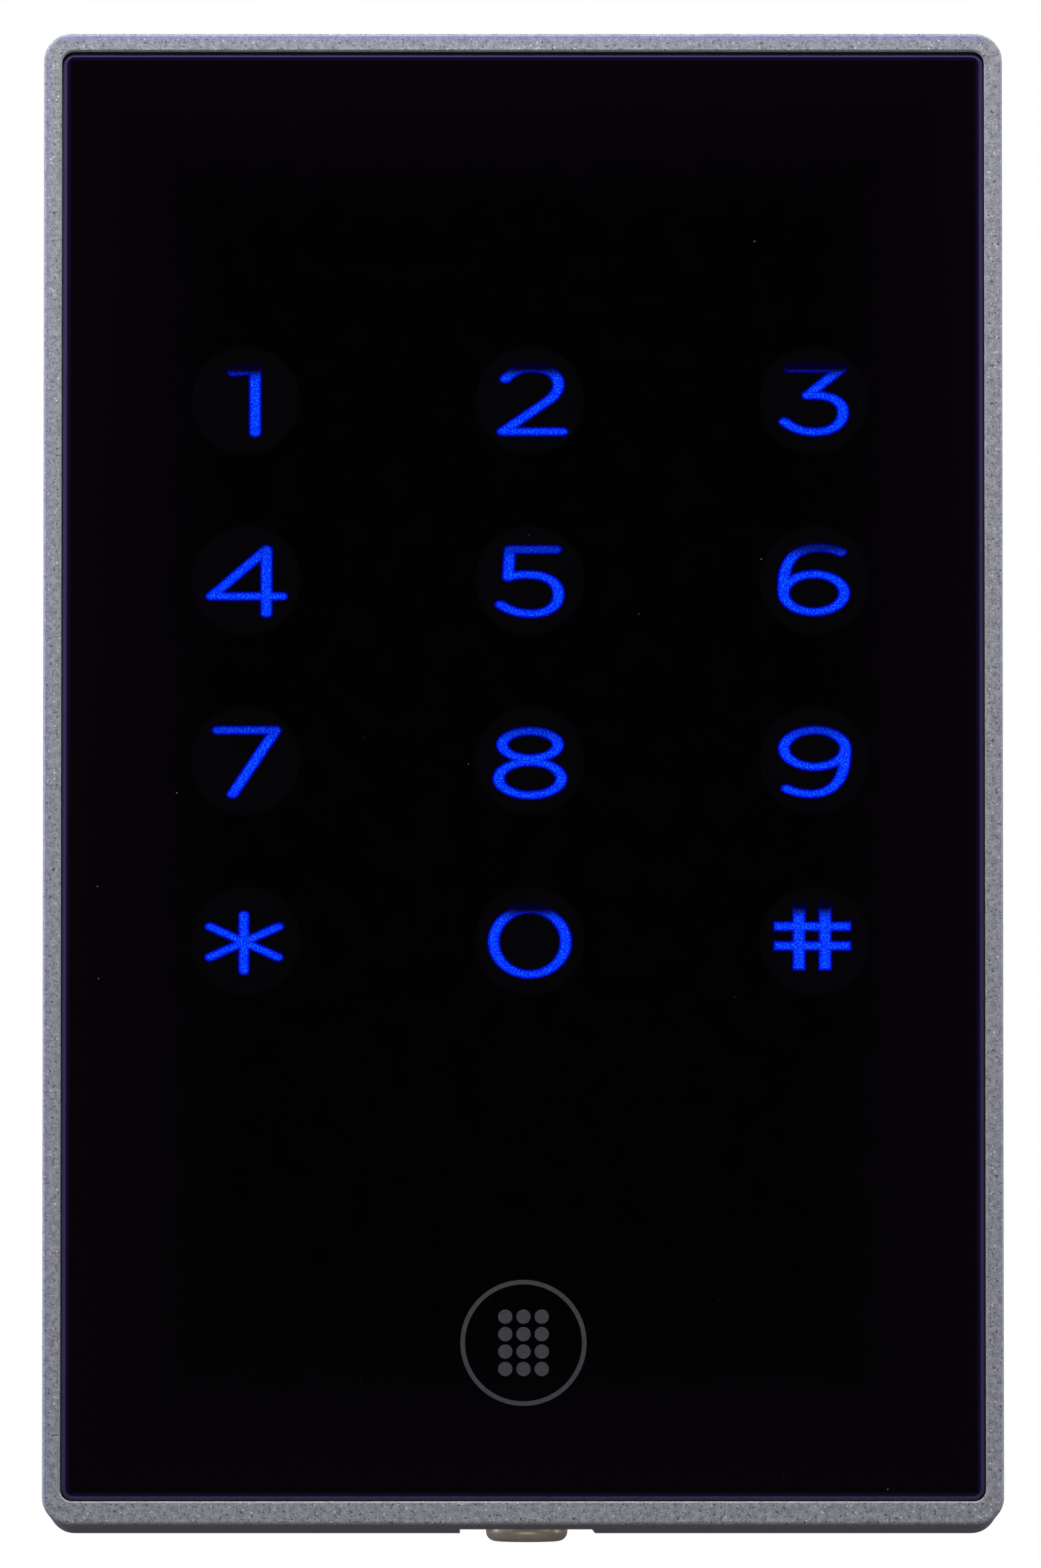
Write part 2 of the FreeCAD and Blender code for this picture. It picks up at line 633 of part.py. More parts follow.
def make_main_pcb():
    """The board, notched round the frame's corner posts."""
    body = new_body("main_pcb")
    half_x = f"({CAVITY_WIDTH} / 2 - board_gap)"
    half_z = f"({CAVITY_HEIGHT} / 2 - board_gap)"
    step_x = f"({CAVITY_WIDTH} / 2 - post_reach - notch_clear)"
    step_z = f"({CAVITY_HEIGHT} / 2 - post_reach - notch_clear)"
    quarter = [(half_x, step_z), (step_x, step_z), (step_x, half_z)]
    corners = quarter + [(f"-{x}", z) for x, z in reversed(quarter)]
    corners += [(f"-{x}", f"-{z}") for x, z in quarter]
    corners += [(x, f"-{z}") for x, z in reversed(quarter)]
    outline = front_sketch(body, BOARD_BACK)
    draw_polygon(outline, corners)
    pad(body, outline, "board_thick")
    holes = front_sketch(body, BOARD_FRONT)
    for x, z in four_corners("board_screw_x", "board_screw_z"):
        draw_circle(holes, "board_screw_radius + screw_room", x, z)
    pocket(body, holes, "board_thick")


def make_antenna_coil():
    body = new_body("antenna_coil")
    sketch = front_sketch(body, f"{BOARD_BACK} - coil_thick")
    draw_rounded(sketch, "2 * coil_half_x", "2 * coil_half_z", "coil_corner")
    draw_rounded(
        sketch, "2 * (coil_half_x - coil_band)", "2 * (coil_half_z - coil_band)", "coil_corner - coil_band"
    )
    pad(body, sketch, "coil_thick")


def chip_leads(x, z, half_x, half_z, per_side, sides):
    """Rows of leads along the top and bottom of a chip, and along its sides too where it has them."""
    first = -(per_side - 1) / 2
    across = ("lead_width", "lead_length", "lead_thick")
    beside = ("lead_length", "lead_width", "lead_thick")
    for index in range(per_side):
        along = f"({first + index}) * lead_pitch"
        for sign in (-1, 1):
            reach = f"{sign} * ({half_z} + lead_length / 2)"
            yield on_board(*across, f"{x} + {along}", f"{z} + {reach}")
            if sides:
                reach = f"{sign} * ({half_x} + lead_length / 2)"
                yield on_board(*beside, f"{x} + {reach}", f"{z} + {along}")


def make_chips():
    """Label, place, half sizes, thickness, leads per side and whether all four sides have leads."""
    chips = [
        ("processor_ic", "0", "2", 5.0, 5.0, 1.4, 9, True),
        ("touch_ic", "0", "-22", 6.4, 3.75, 2.2, 12, False),
        ("rf_ic", "-14", "24", 4.95, 1.95, 1.6, 8, False),
    ]
    leads = []
    for label, x, z, half_x, half_z, thick, per_side, sides in chips:
        node(on_board(f"{2 * half_x}", f"{2 * half_z}", f"{thick}", x, z), label)
        leads += list(chip_leads(x, z, half_x, half_z, per_side, sides))
    node(group(leads), "ic_leads")


def make_voltage_regulator():
    spot = ("regulator_x", "regulator_z")
    package = on_board("regulator_width", "regulator_height", "regulator_thick", *spot)
    below = "regulator_z - (regulator_height + tongue_height) / 2"
    tongue = on_board("tongue_width", "tongue_height", "tongue_thick", "regulator_x", below)
    node(fuse(package, tongue), "voltage_regulator")


def make_capacitors():
    """Two can capacitors on square bases."""
    parts = []
    for index in range(2):
        x = f"can_first_x + {index} * can_pitch"
        base = on_board("can_base", "can_base", "can_base_thick", x, "can_z")
        can = rod("can_radius", "can_tall", x, f"{BOARD_BACK} - can_base_thick - can_tall", "can_z")
        parts.append(fuse(base, can))
    node(group(parts), "capacitors")


def make_crystal():
    spot = ("crystal_x", "crystal_z")
    flange_width = "crystal_width + 2 * flange_out"
    flange_height = "crystal_height + 2 * flange_up"
    flange = on_board(flange_width, flange_height, "crystal_flange", *spot)
    can = on_board("crystal_width", "crystal_height", "crystal_thick", *spot)
    node(fuse(flange, can), "crystal")


def make_chip_resistors():
    """Two rows of six."""
    chips = []
    for column in range(6):
        for z in ("chip_low_z", "chip_high_z"):
            x = f"chip_first_x + {column} * chip_pitch"
            chips.append(on_board("chip_width", "chip_height", "chip_thick", x, z))
    node(group(chips), "chip_resistors")


def make_buzzer():
    spot = ("buzzer_x", f"{BOARD_BACK} - buzzer_thick", "buzzer_z")
    can = rod("buzzer_radius", "buzzer_thick", *spot)
    node(cut(can, rod("sound_radius", "sound_depth", *spot)), "buzzer")


def make_harness_header():
    """An eight-way shrouded header: the wiring of an installer plugs in here."""
    start = f"{BOARD_BACK} - header_thick"
    shroud = block("header_width", "header_thick", "header_height", "0", start, "header_z")
    room_width = "header_width - 2 * header_wall"
    room_height = "header_height - 2 * header_wall"
    room = block(room_width, "header_thick - header_wall", room_height, "0", start, "header_z")
    upper_wall = "header_z + (header_height - header_wall) / 2"
    key_slot = block("header_key", "header_key_depth", "3 * header_wall", "0", start, upper_wall)
    node(cut(shroud, room, key_slot), "harness_header")
    pins = []
    for index in range(8):
        x = f"({index} - 3.5) * header_pitch"
        foot = f"{start} + header_thick - header_wall - header_pin_long"
        pins.append(block("header_pin", "header_pin_long", "header_pin", x, foot, "header_z"))
    node(group(pins), "header_pins")


def make_tamper_switch():
    """A plunger switch: its spring pushes the plunger out when the reader leaves the wall."""
    depth = f"({BOARD_BACK} - tamper_end)"
    housing = block("tamper_side", depth, "tamper_side", "tamper_x", "tamper_end", "tamper_z")
    chamber_start = "(tamper_end + tamper_lid)"
    chamber_depth = f"({BOARD_BACK} - tamper_floor - {chamber_start})"
    chamber = rod("chamber_radius", chamber_depth, "tamper_x", chamber_start, "tamper_z")
    guide_length = "tamper_lid + root"
    guide = rod("plunger_radius + plunger_fit", guide_length, "tamper_x", "tamper_end", "tamper_z")
    node(cut(housing, guide, chamber), "tamper_switch_body")

    collar_start = f"({chamber_start} + plunger_travel)"
    stem_length = f"{collar_start} + collar_thick - plunger_end"
    stem = rod("plunger_radius", stem_length, "tamper_x", "plunger_end", "tamper_z")
    collar = rod("plunger_collar", "collar_thick", "tamper_x", collar_start, "tamper_z")
    node(fuse(stem, collar), "tamper_plunger")

    low = f"({collar_start} + collar_thick + spring_wire + spring_room)"
    high = f"({BOARD_BACK} - tamper_floor - spring_wire - spring_room)"
    spring = doc.addObject("Part::Feature", "Spring")
    spring.Shape = coil_spring(amount("spring_mean"), amount(high) - amount(low), amount("spring_turns"))
    spring.Placement.Rotation = AXES["out"]
    move(spring, "tamper_x", low, "tamper_z")
    node(spring, "tamper_spring")


def coil_spring(mean_radius, rise, turns):
    """A round wire wound up along Z, lofted through twelve sections a turn."""
    per_turn = 12
    count = int(per_turn * turns)
    sections = []
    for index in range(count + 1):
        angle = 2 * math.pi * index / per_turn
        along_x = mean_radius * math.cos(angle)
        along_y = mean_radius * math.sin(angle)
        centre = FreeCAD.Vector(along_x, along_y, rise * index / count)
        tangent = FreeCAD.Vector(-along_y, along_x, rise / turns / (2 * math.pi))
        circle = Part.Circle(centre, tangent, amount("spring_wire"))
        sections.append(Part.Wire([circle.toShape()]))
    return Part.makeLoft(sections, True, True)


def make_board_screws():
    screws = []
    start = f"{BOARD_BACK} - board_screw_cap"
    sizes = ("board_screw_radius", "board_screw_head", "board_screw_cap", start, "board_screw_length")
    for x, z in four_corners("board_screw_x", "board_screw_z"):
        screws.append(small_screw(x, z, *sizes))
    node(group(screws), "board_screws")


# ---- the rear cover ----------------------------------------------------------------------------


def make_rear_cover():
    """The cover: pillars that hold the board, the cable entry and the locking screw's boss."""
    body = new_body("rear_cover")
    outline = front_sketch(body, "cover_back")
    width = f"{RECESS_WIDTH} - 2 * cover_gap"
    height = f"{RECESS_HEIGHT} - 2 * cover_gap"
    draw_rounded(outline, width, height, "inner_corner")
    pad(body, outline, "cover_thick")

    pillars = front_sketch(body, COVER_FRONT)
    for x, z in four_corners("pillar_x", "pillar_z") + [("-pillar_x", "0"), ("pillar_x", "0")]:
        draw_circle(pillars, "pillar_radius", x, z)
    pad(body, pillars, f"{BOARD_BACK} - {COVER_FRONT}")

    boss = front_sketch(body, "boss_rear")
    half = "boss_width / 2"
    draw_rectangle(boss, f"lock_x - {half}", f"lock_x + {half}", "boss_bottom", "boss_top")
    pad(body, boss, "cover_back - boss_rear + root")
    relief = front_sketch(body, "relief_front")
    half = "relief_width / 2"
    draw_rectangle(relief, f"lock_x - {half}", f"lock_x + {half}", f"-{RECESS_HEIGHT} / 2", "boss_bottom")
    pocket(body, relief, "relief_front")

    holes = front_sketch(body, COVER_FRONT)
    draw_circle(holes, "entry_hub", "0", "entry_z")
    draw_circle(holes, "plunger_hole", "tamper_x", "tamper_z")
    for x, z in four_corners("cover_screw_x", "cover_screw_z"):
        draw_circle(holes, "cover_screw_radius + screw_room", x, z)
    pocket(body, holes, "cover_thick")

    steps = (("insert_radius", "insert_length"), ("lock_radius + screw_room", "screw_hole_deep"))
    for radius, depth in steps:
        hole = plane_sketch(body, "XY_Plane", "boss_bottom")
        draw_circle(hole, radius, "lock_x", "-lock_distance")
        pocket(body, hole, depth, away=True)


def make_rear_gasket():
    """A flat seal between the frame's step and the cover."""
    body = new_body("rear_gasket")
    outline = front_sketch(body, COVER_FRONT)
    draw_rounded(
        outline, f"{RECESS_WIDTH} - 2 * cover_gap", f"{RECESS_HEIGHT} - 2 * cover_gap", "inner_corner"
    )
    draw_rounded(outline, f"{CAVITY_WIDTH} + cover_gap", f"{CAVITY_HEIGHT} + cover_gap", "inner_corner")
    pad(body, outline, "gasket_thick")


def make_rear_cover_screws():
    screws = []
    start = "cover_back - cover_screw_cap"
    sizes = ("cover_screw_radius", "cover_screw_head", "cover_screw_cap", start, "cover_screw_length")
    for x, z in four_corners("cover_screw_x", "cover_screw_z"):
        screws.append(small_screw(x, z, *sizes))
    node(group(screws), "rear_cover_screws")


def make_cable_grommet():
    """A rubber grommet clipped into the cover, with the bore that the wiring leaves through."""
    hub = rod("entry_hub", "cover_thick", "0", "cover_back", "entry_z")
    rear = rod("entry_flange", "flange_thick", "0", "cover_back - flange_thick", "entry_z")
    front = rod("entry_flange", "flange_thick", "0", COVER_FRONT, "entry_z")
    length = "cover_thick + 2 * flange_thick"
    bore = rod("entry_bore", length, "0", "cover_back - flange_thick", "entry_z")
    node(cut(fuse(hub, rear, front), bore), "cable_grommet")


# ---- the wall bracket, the hinge and the lock --------------------------------------------------


def make_wall_bracket():
    """A folded steel plate: two hooks at the top, a slotted tab at the bottom, holes for the wall."""
    body = new_body("wall_bracket")
    outline = front_sketch(body, "0")
    corners = [
        ("-plate_half_width", "plate_bottom"),
        ("plate_half_width", "plate_bottom"),
        ("plate_half_width", "shoulder_z"),
        ("shoulder_half_width", "shoulder_z"),
        ("shoulder_half_width", "plate_top"),
        ("-shoulder_half_width", "plate_top"),
        ("-shoulder_half_width", "shoulder_z"),
        ("-plate_half_width", "shoulder_z"),
    ]
    draw_polygon(outline, corners)
    pad(body, outline, "plate_thick")
    low = amount("plate_bottom")
    high = amount("shoulder_z")
    side = amount("plate_half_width")

    def outer_corner(edge):
        box = edge.BoundBox
        upright = box.XLength < 1e-4 and box.ZLength < 1e-4
        at_side = abs(abs(box.XMin) - side) < 1e-4
        return upright and at_side and (abs(box.ZMin - low) < 1e-4 or abs(box.ZMin - high) < 1e-4)

    dress(body, "PartDesign::Fillet", "Radius", "window_corner", outer_corner)

    window = front_sketch(body, "plate_thick", "0", "entry_z")
    draw_rounded(window, "window_width", "window_height", "window_corner")
    pocket(body, window, "plate_thick")
    holes = front_sketch(body, "plate_thick")
    draw_circle(holes, "wall_screw_radius", "0", "gang_half")
    draw_circle(holes, "wall_screw_radius", "0", "-gang_half")
    draw_circle(holes, "plunger_window", "tamper_x", "tamper_z")
    pocket(body, holes, "plate_thick")
    for place_x in ("-round_half", "round_half"):
        middle = front_sketch(body, "plate_thick")
        run = "(slot_length / 2 - wall_screw_radius)"
        draw_rectangle(
            middle, f"{place_x} - {run}", f"{place_x} + {run}", "-wall_screw_radius", "wall_screw_radius"
        )
        pocket(body, middle, "plate_thick")
        for end in ("-", "+"):
            tip = front_sketch(body, "plate_thick")
            draw_circle(tip, "wall_screw_radius", f"{place_x} {end} {run}", "0")
            pocket(body, tip, "plate_thick")

    leg_top = "(rod_z - rod_radius - rod_fit)"
    leg_bottom = f"({leg_top} - hook_thick)"
    lip_rear = "(rod_distance + rod_radius + rod_fit)"
    lip_front = f"({lip_rear} + hook_thick)"
    profile = [
        ("0", leg_bottom),
        (f"-{lip_front}", leg_bottom),
        (f"-{lip_front}", "hook_lip_top"),
        (f"-{lip_rear}", "hook_lip_top"),
        (f"-{lip_rear}", leg_top),
        ("0", leg_top),
    ]
    for centre in ("-hook_x", "hook_x"):
        hook = plane_sketch(body, "YZ_Plane", f"{centre} - hook_width / 2")
        draw_polygon(hook, profile)
        pad(body, hook, "hook_width")

    half = "tab_width / 2"
    tab = plane_sketch(body, "XY_Plane", "tab_bottom")
    draw_rectangle(tab, f"lock_x - {half}", f"lock_x + {half}", "-tab_front", "0")
    pad(body, tab, "tab_top - tab_bottom")
    slot = plane_sketch(body, "XY_Plane", "tab_top")
    past_tab = "-tab_front - root"
    draw_rectangle(slot, "lock_x - tab_slot", "lock_x + tab_slot", past_tab, "-lock_distance")
    pocket(body, slot, "tab_top - tab_bottom")
    root = plane_sketch(body, "XY_Plane", "tab_top")
    draw_circle(root, "tab_slot", "lock_x", "-lock_distance")
    pocket(body, root, "tab_top - tab_bottom")


def make_hook_rod():
    node(rod("rod_radius", "2 * rod_half", "-rod_half", "rod_distance", "rod_z", "right"), "hook_rod")


def make_threaded_insert():
    spot = ("lock_x", "lock_distance", "boss_bottom", "up")
    sleeve = rod("insert_radius", "insert_length", *spot)
    node(cut(sleeve, rod("insert_bore", "insert_length", *spot)), "threaded_insert")


def make_security_screw():
    """A pan-head screw driven from below by a six-sided key with a hole for the centre pin."""
    spot = ("lock_x", "lock_distance")
    head = rod("lock_head_radius", "lock_head_top - lock_head_bottom", *spot, "lock_head_bottom", "up")
    rounded = doc.addObject("Part::Fillet", "RoundHead")
    rounded.Base = head
    doc.recompute()
    bottom = amount("lock_head_bottom")
    radius = amount("lock_head_round")
    for number, edge in enumerate(head.Shape.Edges, start=1):
        if abs(edge.BoundBox.ZMax - bottom) < 1e-4:
            rounded.Edges = [(number, radius, radius)]
    shank = rod("lock_radius", "lock_end - lock_head_top", *spot, "lock_head_top", "up")
    drive = doc.addObject("Part::Prism", "Drive")
    drive.Polygon = 6
    bind(drive, "Circumradius", "drive_radius")
    bind(drive, "Height", "drive_depth")
    move(drive, *spot, "lock_head_bottom")
    pin = rod("drive_pin", "drive_depth", *spot, "lock_head_bottom", "up")
    node(fuse(cut(fuse(rounded, shank), drive), pin), "security_screw")


def make_screw_washer():
    spot = ("lock_x", "lock_distance", "lock_head_top", "up")
    thick = "washer_top - lock_head_top"
    node(cut(rod("washer_radius", thick, *spot), rod("washer_bore", thick, *spot)), "screw_washer")


make_front_bezel()
make_touch_panel()
make_panel_adhesive()
make_legend_film()
make_light_baffle()
make_key_diffusers()
make_key_leds()
make_main_pcb()
make_antenna_coil()
make_chips()
make_voltage_regulator()
make_capacitors()
make_crystal()
make_chip_resistors()
make_buzzer()
make_harness_header()
make_tamper_switch()
make_board_screws()
make_rear_cover()
make_rear_gasket()
make_rear_cover_screws()
make_cable_grommet()
make_wall_bracket()
make_hook_rod()
make_threaded_insert()
make_security_screw()
make_screw_washer()
doc.recompute()

for item in doc.Objects:
    if {"Invalid", "Error"} & set(item.State):
        raise RuntimeError(f"{item.Name} ({item.Label}) failed: {item.State}")
for item in nodes:
    if item.Shape.isNull() or not item.Shape.isValid():
        raise RuntimeError(f"{item.Label} has no valid shape")

os.makedirs("parts", exist_ok=True)
for item in nodes:
    item.Shape.exportStep(f"parts/{item.Label}.step")
    print(f"{item.Label}: {len(item.Shape.Solids)} solid(s), {item.Shape.Volume:.1f} mm3")
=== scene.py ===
import json
import math

import bmesh
import bpy
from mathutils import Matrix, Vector
from mathutils.geometry import delaunay_2d_cdt


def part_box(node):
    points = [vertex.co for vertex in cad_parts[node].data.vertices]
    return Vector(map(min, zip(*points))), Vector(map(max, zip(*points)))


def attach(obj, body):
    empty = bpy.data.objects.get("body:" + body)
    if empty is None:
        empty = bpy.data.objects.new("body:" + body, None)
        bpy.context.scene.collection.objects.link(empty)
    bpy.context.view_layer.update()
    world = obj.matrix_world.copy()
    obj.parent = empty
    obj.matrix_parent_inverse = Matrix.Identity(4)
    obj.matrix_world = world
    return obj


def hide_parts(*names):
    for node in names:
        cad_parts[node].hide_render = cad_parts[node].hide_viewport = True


# The looks of the keypad access reader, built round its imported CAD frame.
# Lengths are metres in the CAD's own frame: +Z up, the wall at y = 0, the glass facing -Y.

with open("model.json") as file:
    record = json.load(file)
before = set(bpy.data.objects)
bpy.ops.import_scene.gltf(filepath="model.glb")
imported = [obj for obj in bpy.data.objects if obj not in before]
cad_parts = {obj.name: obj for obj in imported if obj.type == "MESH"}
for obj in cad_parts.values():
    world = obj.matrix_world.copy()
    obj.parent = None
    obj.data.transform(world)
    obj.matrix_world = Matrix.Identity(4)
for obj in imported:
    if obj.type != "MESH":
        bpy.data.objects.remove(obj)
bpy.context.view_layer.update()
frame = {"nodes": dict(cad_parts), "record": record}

MM = 0.001
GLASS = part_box("touch_panel")
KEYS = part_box("key_diffusers")
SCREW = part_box("security_screw")
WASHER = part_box("screw_washer")
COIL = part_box("antenna_coil")

KEY_CENTRE = (KEYS[0] + KEYS[1]) / 2
KEY_PITCH = (22.8 * MM, 14.5 * MM)
KEY_ORDER = (("1", "2", "3"), ("4", "5", "6"), ("7", "8", "9"), ("star", "0", "hash"))
KEY_DISC = 4.5 * MM
# The shine of the glass, which the lit legends on it share.
GLASS_SHINE = {"roughness": 0.06, "specular_ior_level": 0.5, "ior": 1.52}


# ---------------------------------------------------------------------------------------------
# Node materials
# ---------------------------------------------------------------------------------------------


def srgb(red, green, blue):
    """A colour from its 0-255 screen values, as the linear values that nodes take."""
    linear = []
    for value in (red / 255, green / 255, blue / 255):
        linear.append(value / 12.92 if value <= 0.04045 else ((value + 0.055) / 1.055) ** 2.4)
    return (*linear, 1.0)


class Look:
    """A material with one Principled shader, and short calls for the nodes that feed it.

    Patterns are laid out in object space, so their sizes are given in millimetres.
    """

    def __init__(self, name, **settings):
        self.material = bpy.data.materials.new(name)
        self.material.use_nodes = True
        self.tree = self.material.node_tree
        self.shader = self.tree.nodes["Principled BSDF"]
        self.place = self.tree.nodes.new("ShaderNodeTexCoord").outputs["Object"]
        for setting, value in settings.items():
            self.feed(setting.replace("_", " ").title().replace("Ior", "IOR"), value)

    def link(self, node, name, value):
        """Puts a value, a colour or another node's output into a node's input."""
        if isinstance(value, bpy.types.NodeSocket):
            self.tree.links.new(value, node.inputs[name])
        else:
            node.inputs[name].default_value = value

    def feed(self, name, value):
        self.link(self.shader, name, value)

    def math(self, operation, *values):
        node = self.tree.nodes.new("ShaderNodeMath")
        node.operation = operation
        for index, value in enumerate(values):
            self.link(node, index, value)
        return node.outputs[0]

    def stretched(self, along):
        """Object space drawn out by a factor along each axis, for brushed and drawn finishes."""
        node = self.tree.nodes.new("ShaderNodeMapping")
        self.link(node, "Vector", self.place)
        node.inputs["Scale"].default_value = [1 / factor for factor in along]
        return node.outputs[0]

    def noise(self, size, detail=2.0, where=None):
        node = self.tree.nodes.new("ShaderNodeTexNoise")
        self.link(node, "Vector", where or self.place)
        node.inputs["Scale"].default_value = 1 / (size * MM)
        node.inputs["Detail"].default_value = detail
        return node.outputs["Fac"]

    def cells(self, size, output="Distance"):
        node = self.tree.nodes.new("ShaderNodeTexVoronoi")
        self.link(node, "Vector", self.place)
        node.inputs["Scale"].default_value = 1 / (size * MM)
        return node.outputs[output]

    def axis(self, name, where=None):
        node = self.tree.nodes.new("ShaderNodeSeparateXYZ")
        self.link(node, 0, where or self.place)
        return node.outputs[name]

    def facing(self, name):
        """How far the true surface normal points along an object axis."""
        node = self.tree.nodes.new("ShaderNodeTexCoord")
        return self.axis(name, node.outputs["Normal"])

    def between(self, value, low, high, start=0.0, end=1.0):
        """Runs smoothly from start to end while value goes from low to high."""
        node = self.tree.nodes.new("ShaderNodeMapRange")
        node.interpolation_type = "SMOOTHSTEP"
        inputs = ("Value", "From Min", "From Max", "To Min", "To Max")
        for name, given in zip(inputs, (value, low, high, start, end)):
            self.link(node, name, given)
        return node.outputs["Result"]

    def mix(self, share, first, second):
        node = self.tree.nodes.new("ShaderNodeMix")
        node.data_type = "RGBA"
        self.link(node, 0, share)
        self.link(node, 6, first)
        self.link(node, 7, second)
        return node.outputs[2]

    def bump(self, height, depth, strength=1.0, over=None):
        """Relief of the given depth in millimetres, on top of an earlier relief if there is one."""
        node = self.tree.nodes.new("ShaderNodeBump")
        node.inputs["Strength"].default_value = strength
        node.inputs["Distance"].default_value = depth * MM
        self.link(node, "Height", height)
        if over is not None:
            self.link(node, "Normal", over)
        self.feed("Normal", node.outputs[0])
        return node.outputs[0]


def powder_coat():
    """Grey powder coat: an orange-peel skin with dark pits and pale flecks.

    Its rounded edges are smoother and carry a painted pale highlight, and the front carries a painted
    bluish reflection towards its outer edges.
    """
    look = Look("powder_coat", specular_ior_level=0.5)
    peel = look.noise(0.50, 3.0)
    fine = look.noise(0.15, 2.0)
    tone = look.mix(look.between(peel, 0.32, 0.68), srgb(126, 128, 136), srgb(159, 161, 170))
    tone = look.mix(look.between(look.noise(9.0), 0.35, 0.65, 0.0, 0.15), tone, srgb(138, 144, 148))
    tone = look.mix(look.between(fine, 0.48, 0.75, 0.0, 0.6), tone, srgb(190, 190, 196))
    tone = look.mix(look.between(fine, 0.25, 0.45, 0.8, 0.0), tone, srgb(84, 84, 94))
    pits = look.between(look.noise(0.28, 1.0), 0.30, 0.38, 0.85, 0.0)
    tone = look.mix(pits, tone, srgb(66, 65, 76))
    flecks = look.between(look.cells(0.42), 0.10, 0.22, 0.85, 0.0)
    flecks = look.math("MULTIPLY", flecks, look.between(look.noise(1.1, 1.0), 0.46, 0.55))
    tone = look.mix(flecks, tone, srgb(228, 228, 230))
    front = look.between(look.facing("Y"), -0.995, -0.9, 1.0, 0.0)
    # Painted reflection: the front face is tinted bluish near its outer left, right and top edges.
    painted_blue_sheens = (("X", -37.8, -38.6, 0.62), ("X", 38.0, 38.6, 0.4), ("Z", 59.1, 60.0, 0.6))
    for name, start, end, share in painted_blue_sheens:
        painted_blue_sheen = look.between(look.axis(name), start * MM, end * MM, 0.0, share)
        tone = look.mix(look.math("MULTIPLY", painted_blue_sheen, front), tone, srgb(122, 126, 215))
    # Painted highlight: slanted, rounded edges get a paler colour as if lit; they are also made smoother.
    slant = look.math("ABSOLUTE", look.facing("Y"))
    edge = look.between(slant, 0.80, 0.97, 0.7, 0.0)
    edge = look.math("MULTIPLY", edge, look.between(slant, 0.05, 0.25, 0.0, 0.4))
    look.feed("Base Color", look.mix(edge, tone, srgb(204, 204, 200)))
    rough = look.between(fine, 0.3, 0.7, 0.38, 0.54)
    look.feed("Roughness", look.math("SUBTRACT", rough, look.math("MULTIPLY", edge, 0.45)))
    relief = look.bump(peel, 0.03)
    look.bump(fine, 0.016, over=relief)
    return look.material


def black_glass():
    """Glass printed black on its back: faint key wells, smudges, dust specks and a ground edge, with
    painted violet light on that edge and a painted glow just inside it.
    """
    look = Look("black_glass", **GLASS_SHINE)
    out_x = look.math("SUBTRACT", look.axis("X"), KEY_CENTRE.x)
    out_z = look.math("SUBTRACT", look.axis("Z"), KEY_CENTRE.z)
    pitch_x, pitch_z = KEY_PITCH
    near_x = look.math("WRAP", out_x, pitch_x / 2, -pitch_x / 2)
    near_z = look.math("PINGPONG", look.math("SUBTRACT", out_z, pitch_z / 2), pitch_z / 2)
    squares = look.math("ADD", look.math("POWER", near_x, 2.0), look.math("POWER", near_z, 2.0))
    reach = look.math("SQRT", squares)
    well = look.between(reach, KEY_DISC - 0.3 * MM, KEY_DISC, 0.22, 0.0)
    for out, last in ((out_x, 1.5 * pitch_x), (out_z, 2 * pitch_z)):
        inside = look.math("LESS_THAN", look.math("ABSOLUTE", out), last)
        well = look.math("MULTIPLY", well, inside)
    print_and_painted_light = look.mix(look.noise(3.0, 3.0), srgb(0, 0, 0), srgb(4, 2, 4))
    print_and_painted_light = look.mix(border_share(look, 15.0), print_and_painted_light, srgb(8, 4, 8))
    print_and_painted_light = look.mix(well, print_and_painted_light, srgb(16, 15, 20))
    # Painted glow: violet light spread into the glass within 0.75 mm of its border.
    print_and_painted_light = look.mix(border_share(look, 0.75), print_and_painted_light, srgb(34, 22, 72))
    # Painted highlight: the ground edge gets a pale violet colour as if catching light.
    edge = look.between(look.math("ABSOLUTE", look.facing("Y")), 0.80, 0.985, 1.0, 0.0)
    print_and_painted_light = look.mix(edge, print_and_painted_light, srgb(74, 66, 106))
    dust = look.between(look.cells(2.6), 0.018, 0.03, 0.6, 0.0)
    dust = look.math("MULTIPLY", dust, look.between(look.noise(4.0, 0.0), 0.60, 0.64))
    look.feed("Base Color", look.mix(dust, print_and_painted_light, srgb(112, 108, 102)))
    smudges = look.between(look.noise(7.0, 4.0), 0.45, 0.75, 0.035, 0.085)
    look.feed("Roughness", look.math("ADD", smudges, dust))
    return look.material


def border_share(look, width):
    """How near the glass's edge a point is: 0 beyond the given width in millimetres, 1 at the edge."""
    shares = []
    for axis, name in ((0, "X"), (2, "Z")):
        middle = (GLASS[0][axis] + GLASS[1][axis]) / 2
        half = (GLASS[1][axis] - GLASS[0][axis]) / 2
        out = look.math("ABSOLUTE", look.math("SUBTRACT", look.axis(name), middle))
        shares.append(look.between(out, half - width * MM, half))
    return look.math("MAXIMUM", *shares)


def moulded(name, colour, grain=0.35, depth=0.02, gloss=0.45, fleck=0.12):
    """Moulded plastic or rubber: a spark-eroded grain, a little colour drift and lighter high spots in
    the grain.
    """
    look = Look(name)
    texture = look.noise(grain, 3.0)
    drift = look.noise(6.0, 2.0)
    darker = [channel * (1 - fleck * 2) for channel in colour[:3]] + [1.0]
    lighter = [min(1.0, channel * (1 + fleck * 2) + 0.002) for channel in colour[:3]] + [1.0]
    tone = look.mix(look.between(drift, 0.3, 0.7), darker, colour)
    tone = look.mix(look.between(texture, 0.5, 0.8, 0.0, 0.6), tone, lighter)
    look.feed("Base Color", tone)
    look.feed("Roughness", look.between(look.noise(2.2, 3.0), 0.3, 0.7, gloss - 0.07, gloss + 0.1))
    look.bump(texture, depth)
    return look.material


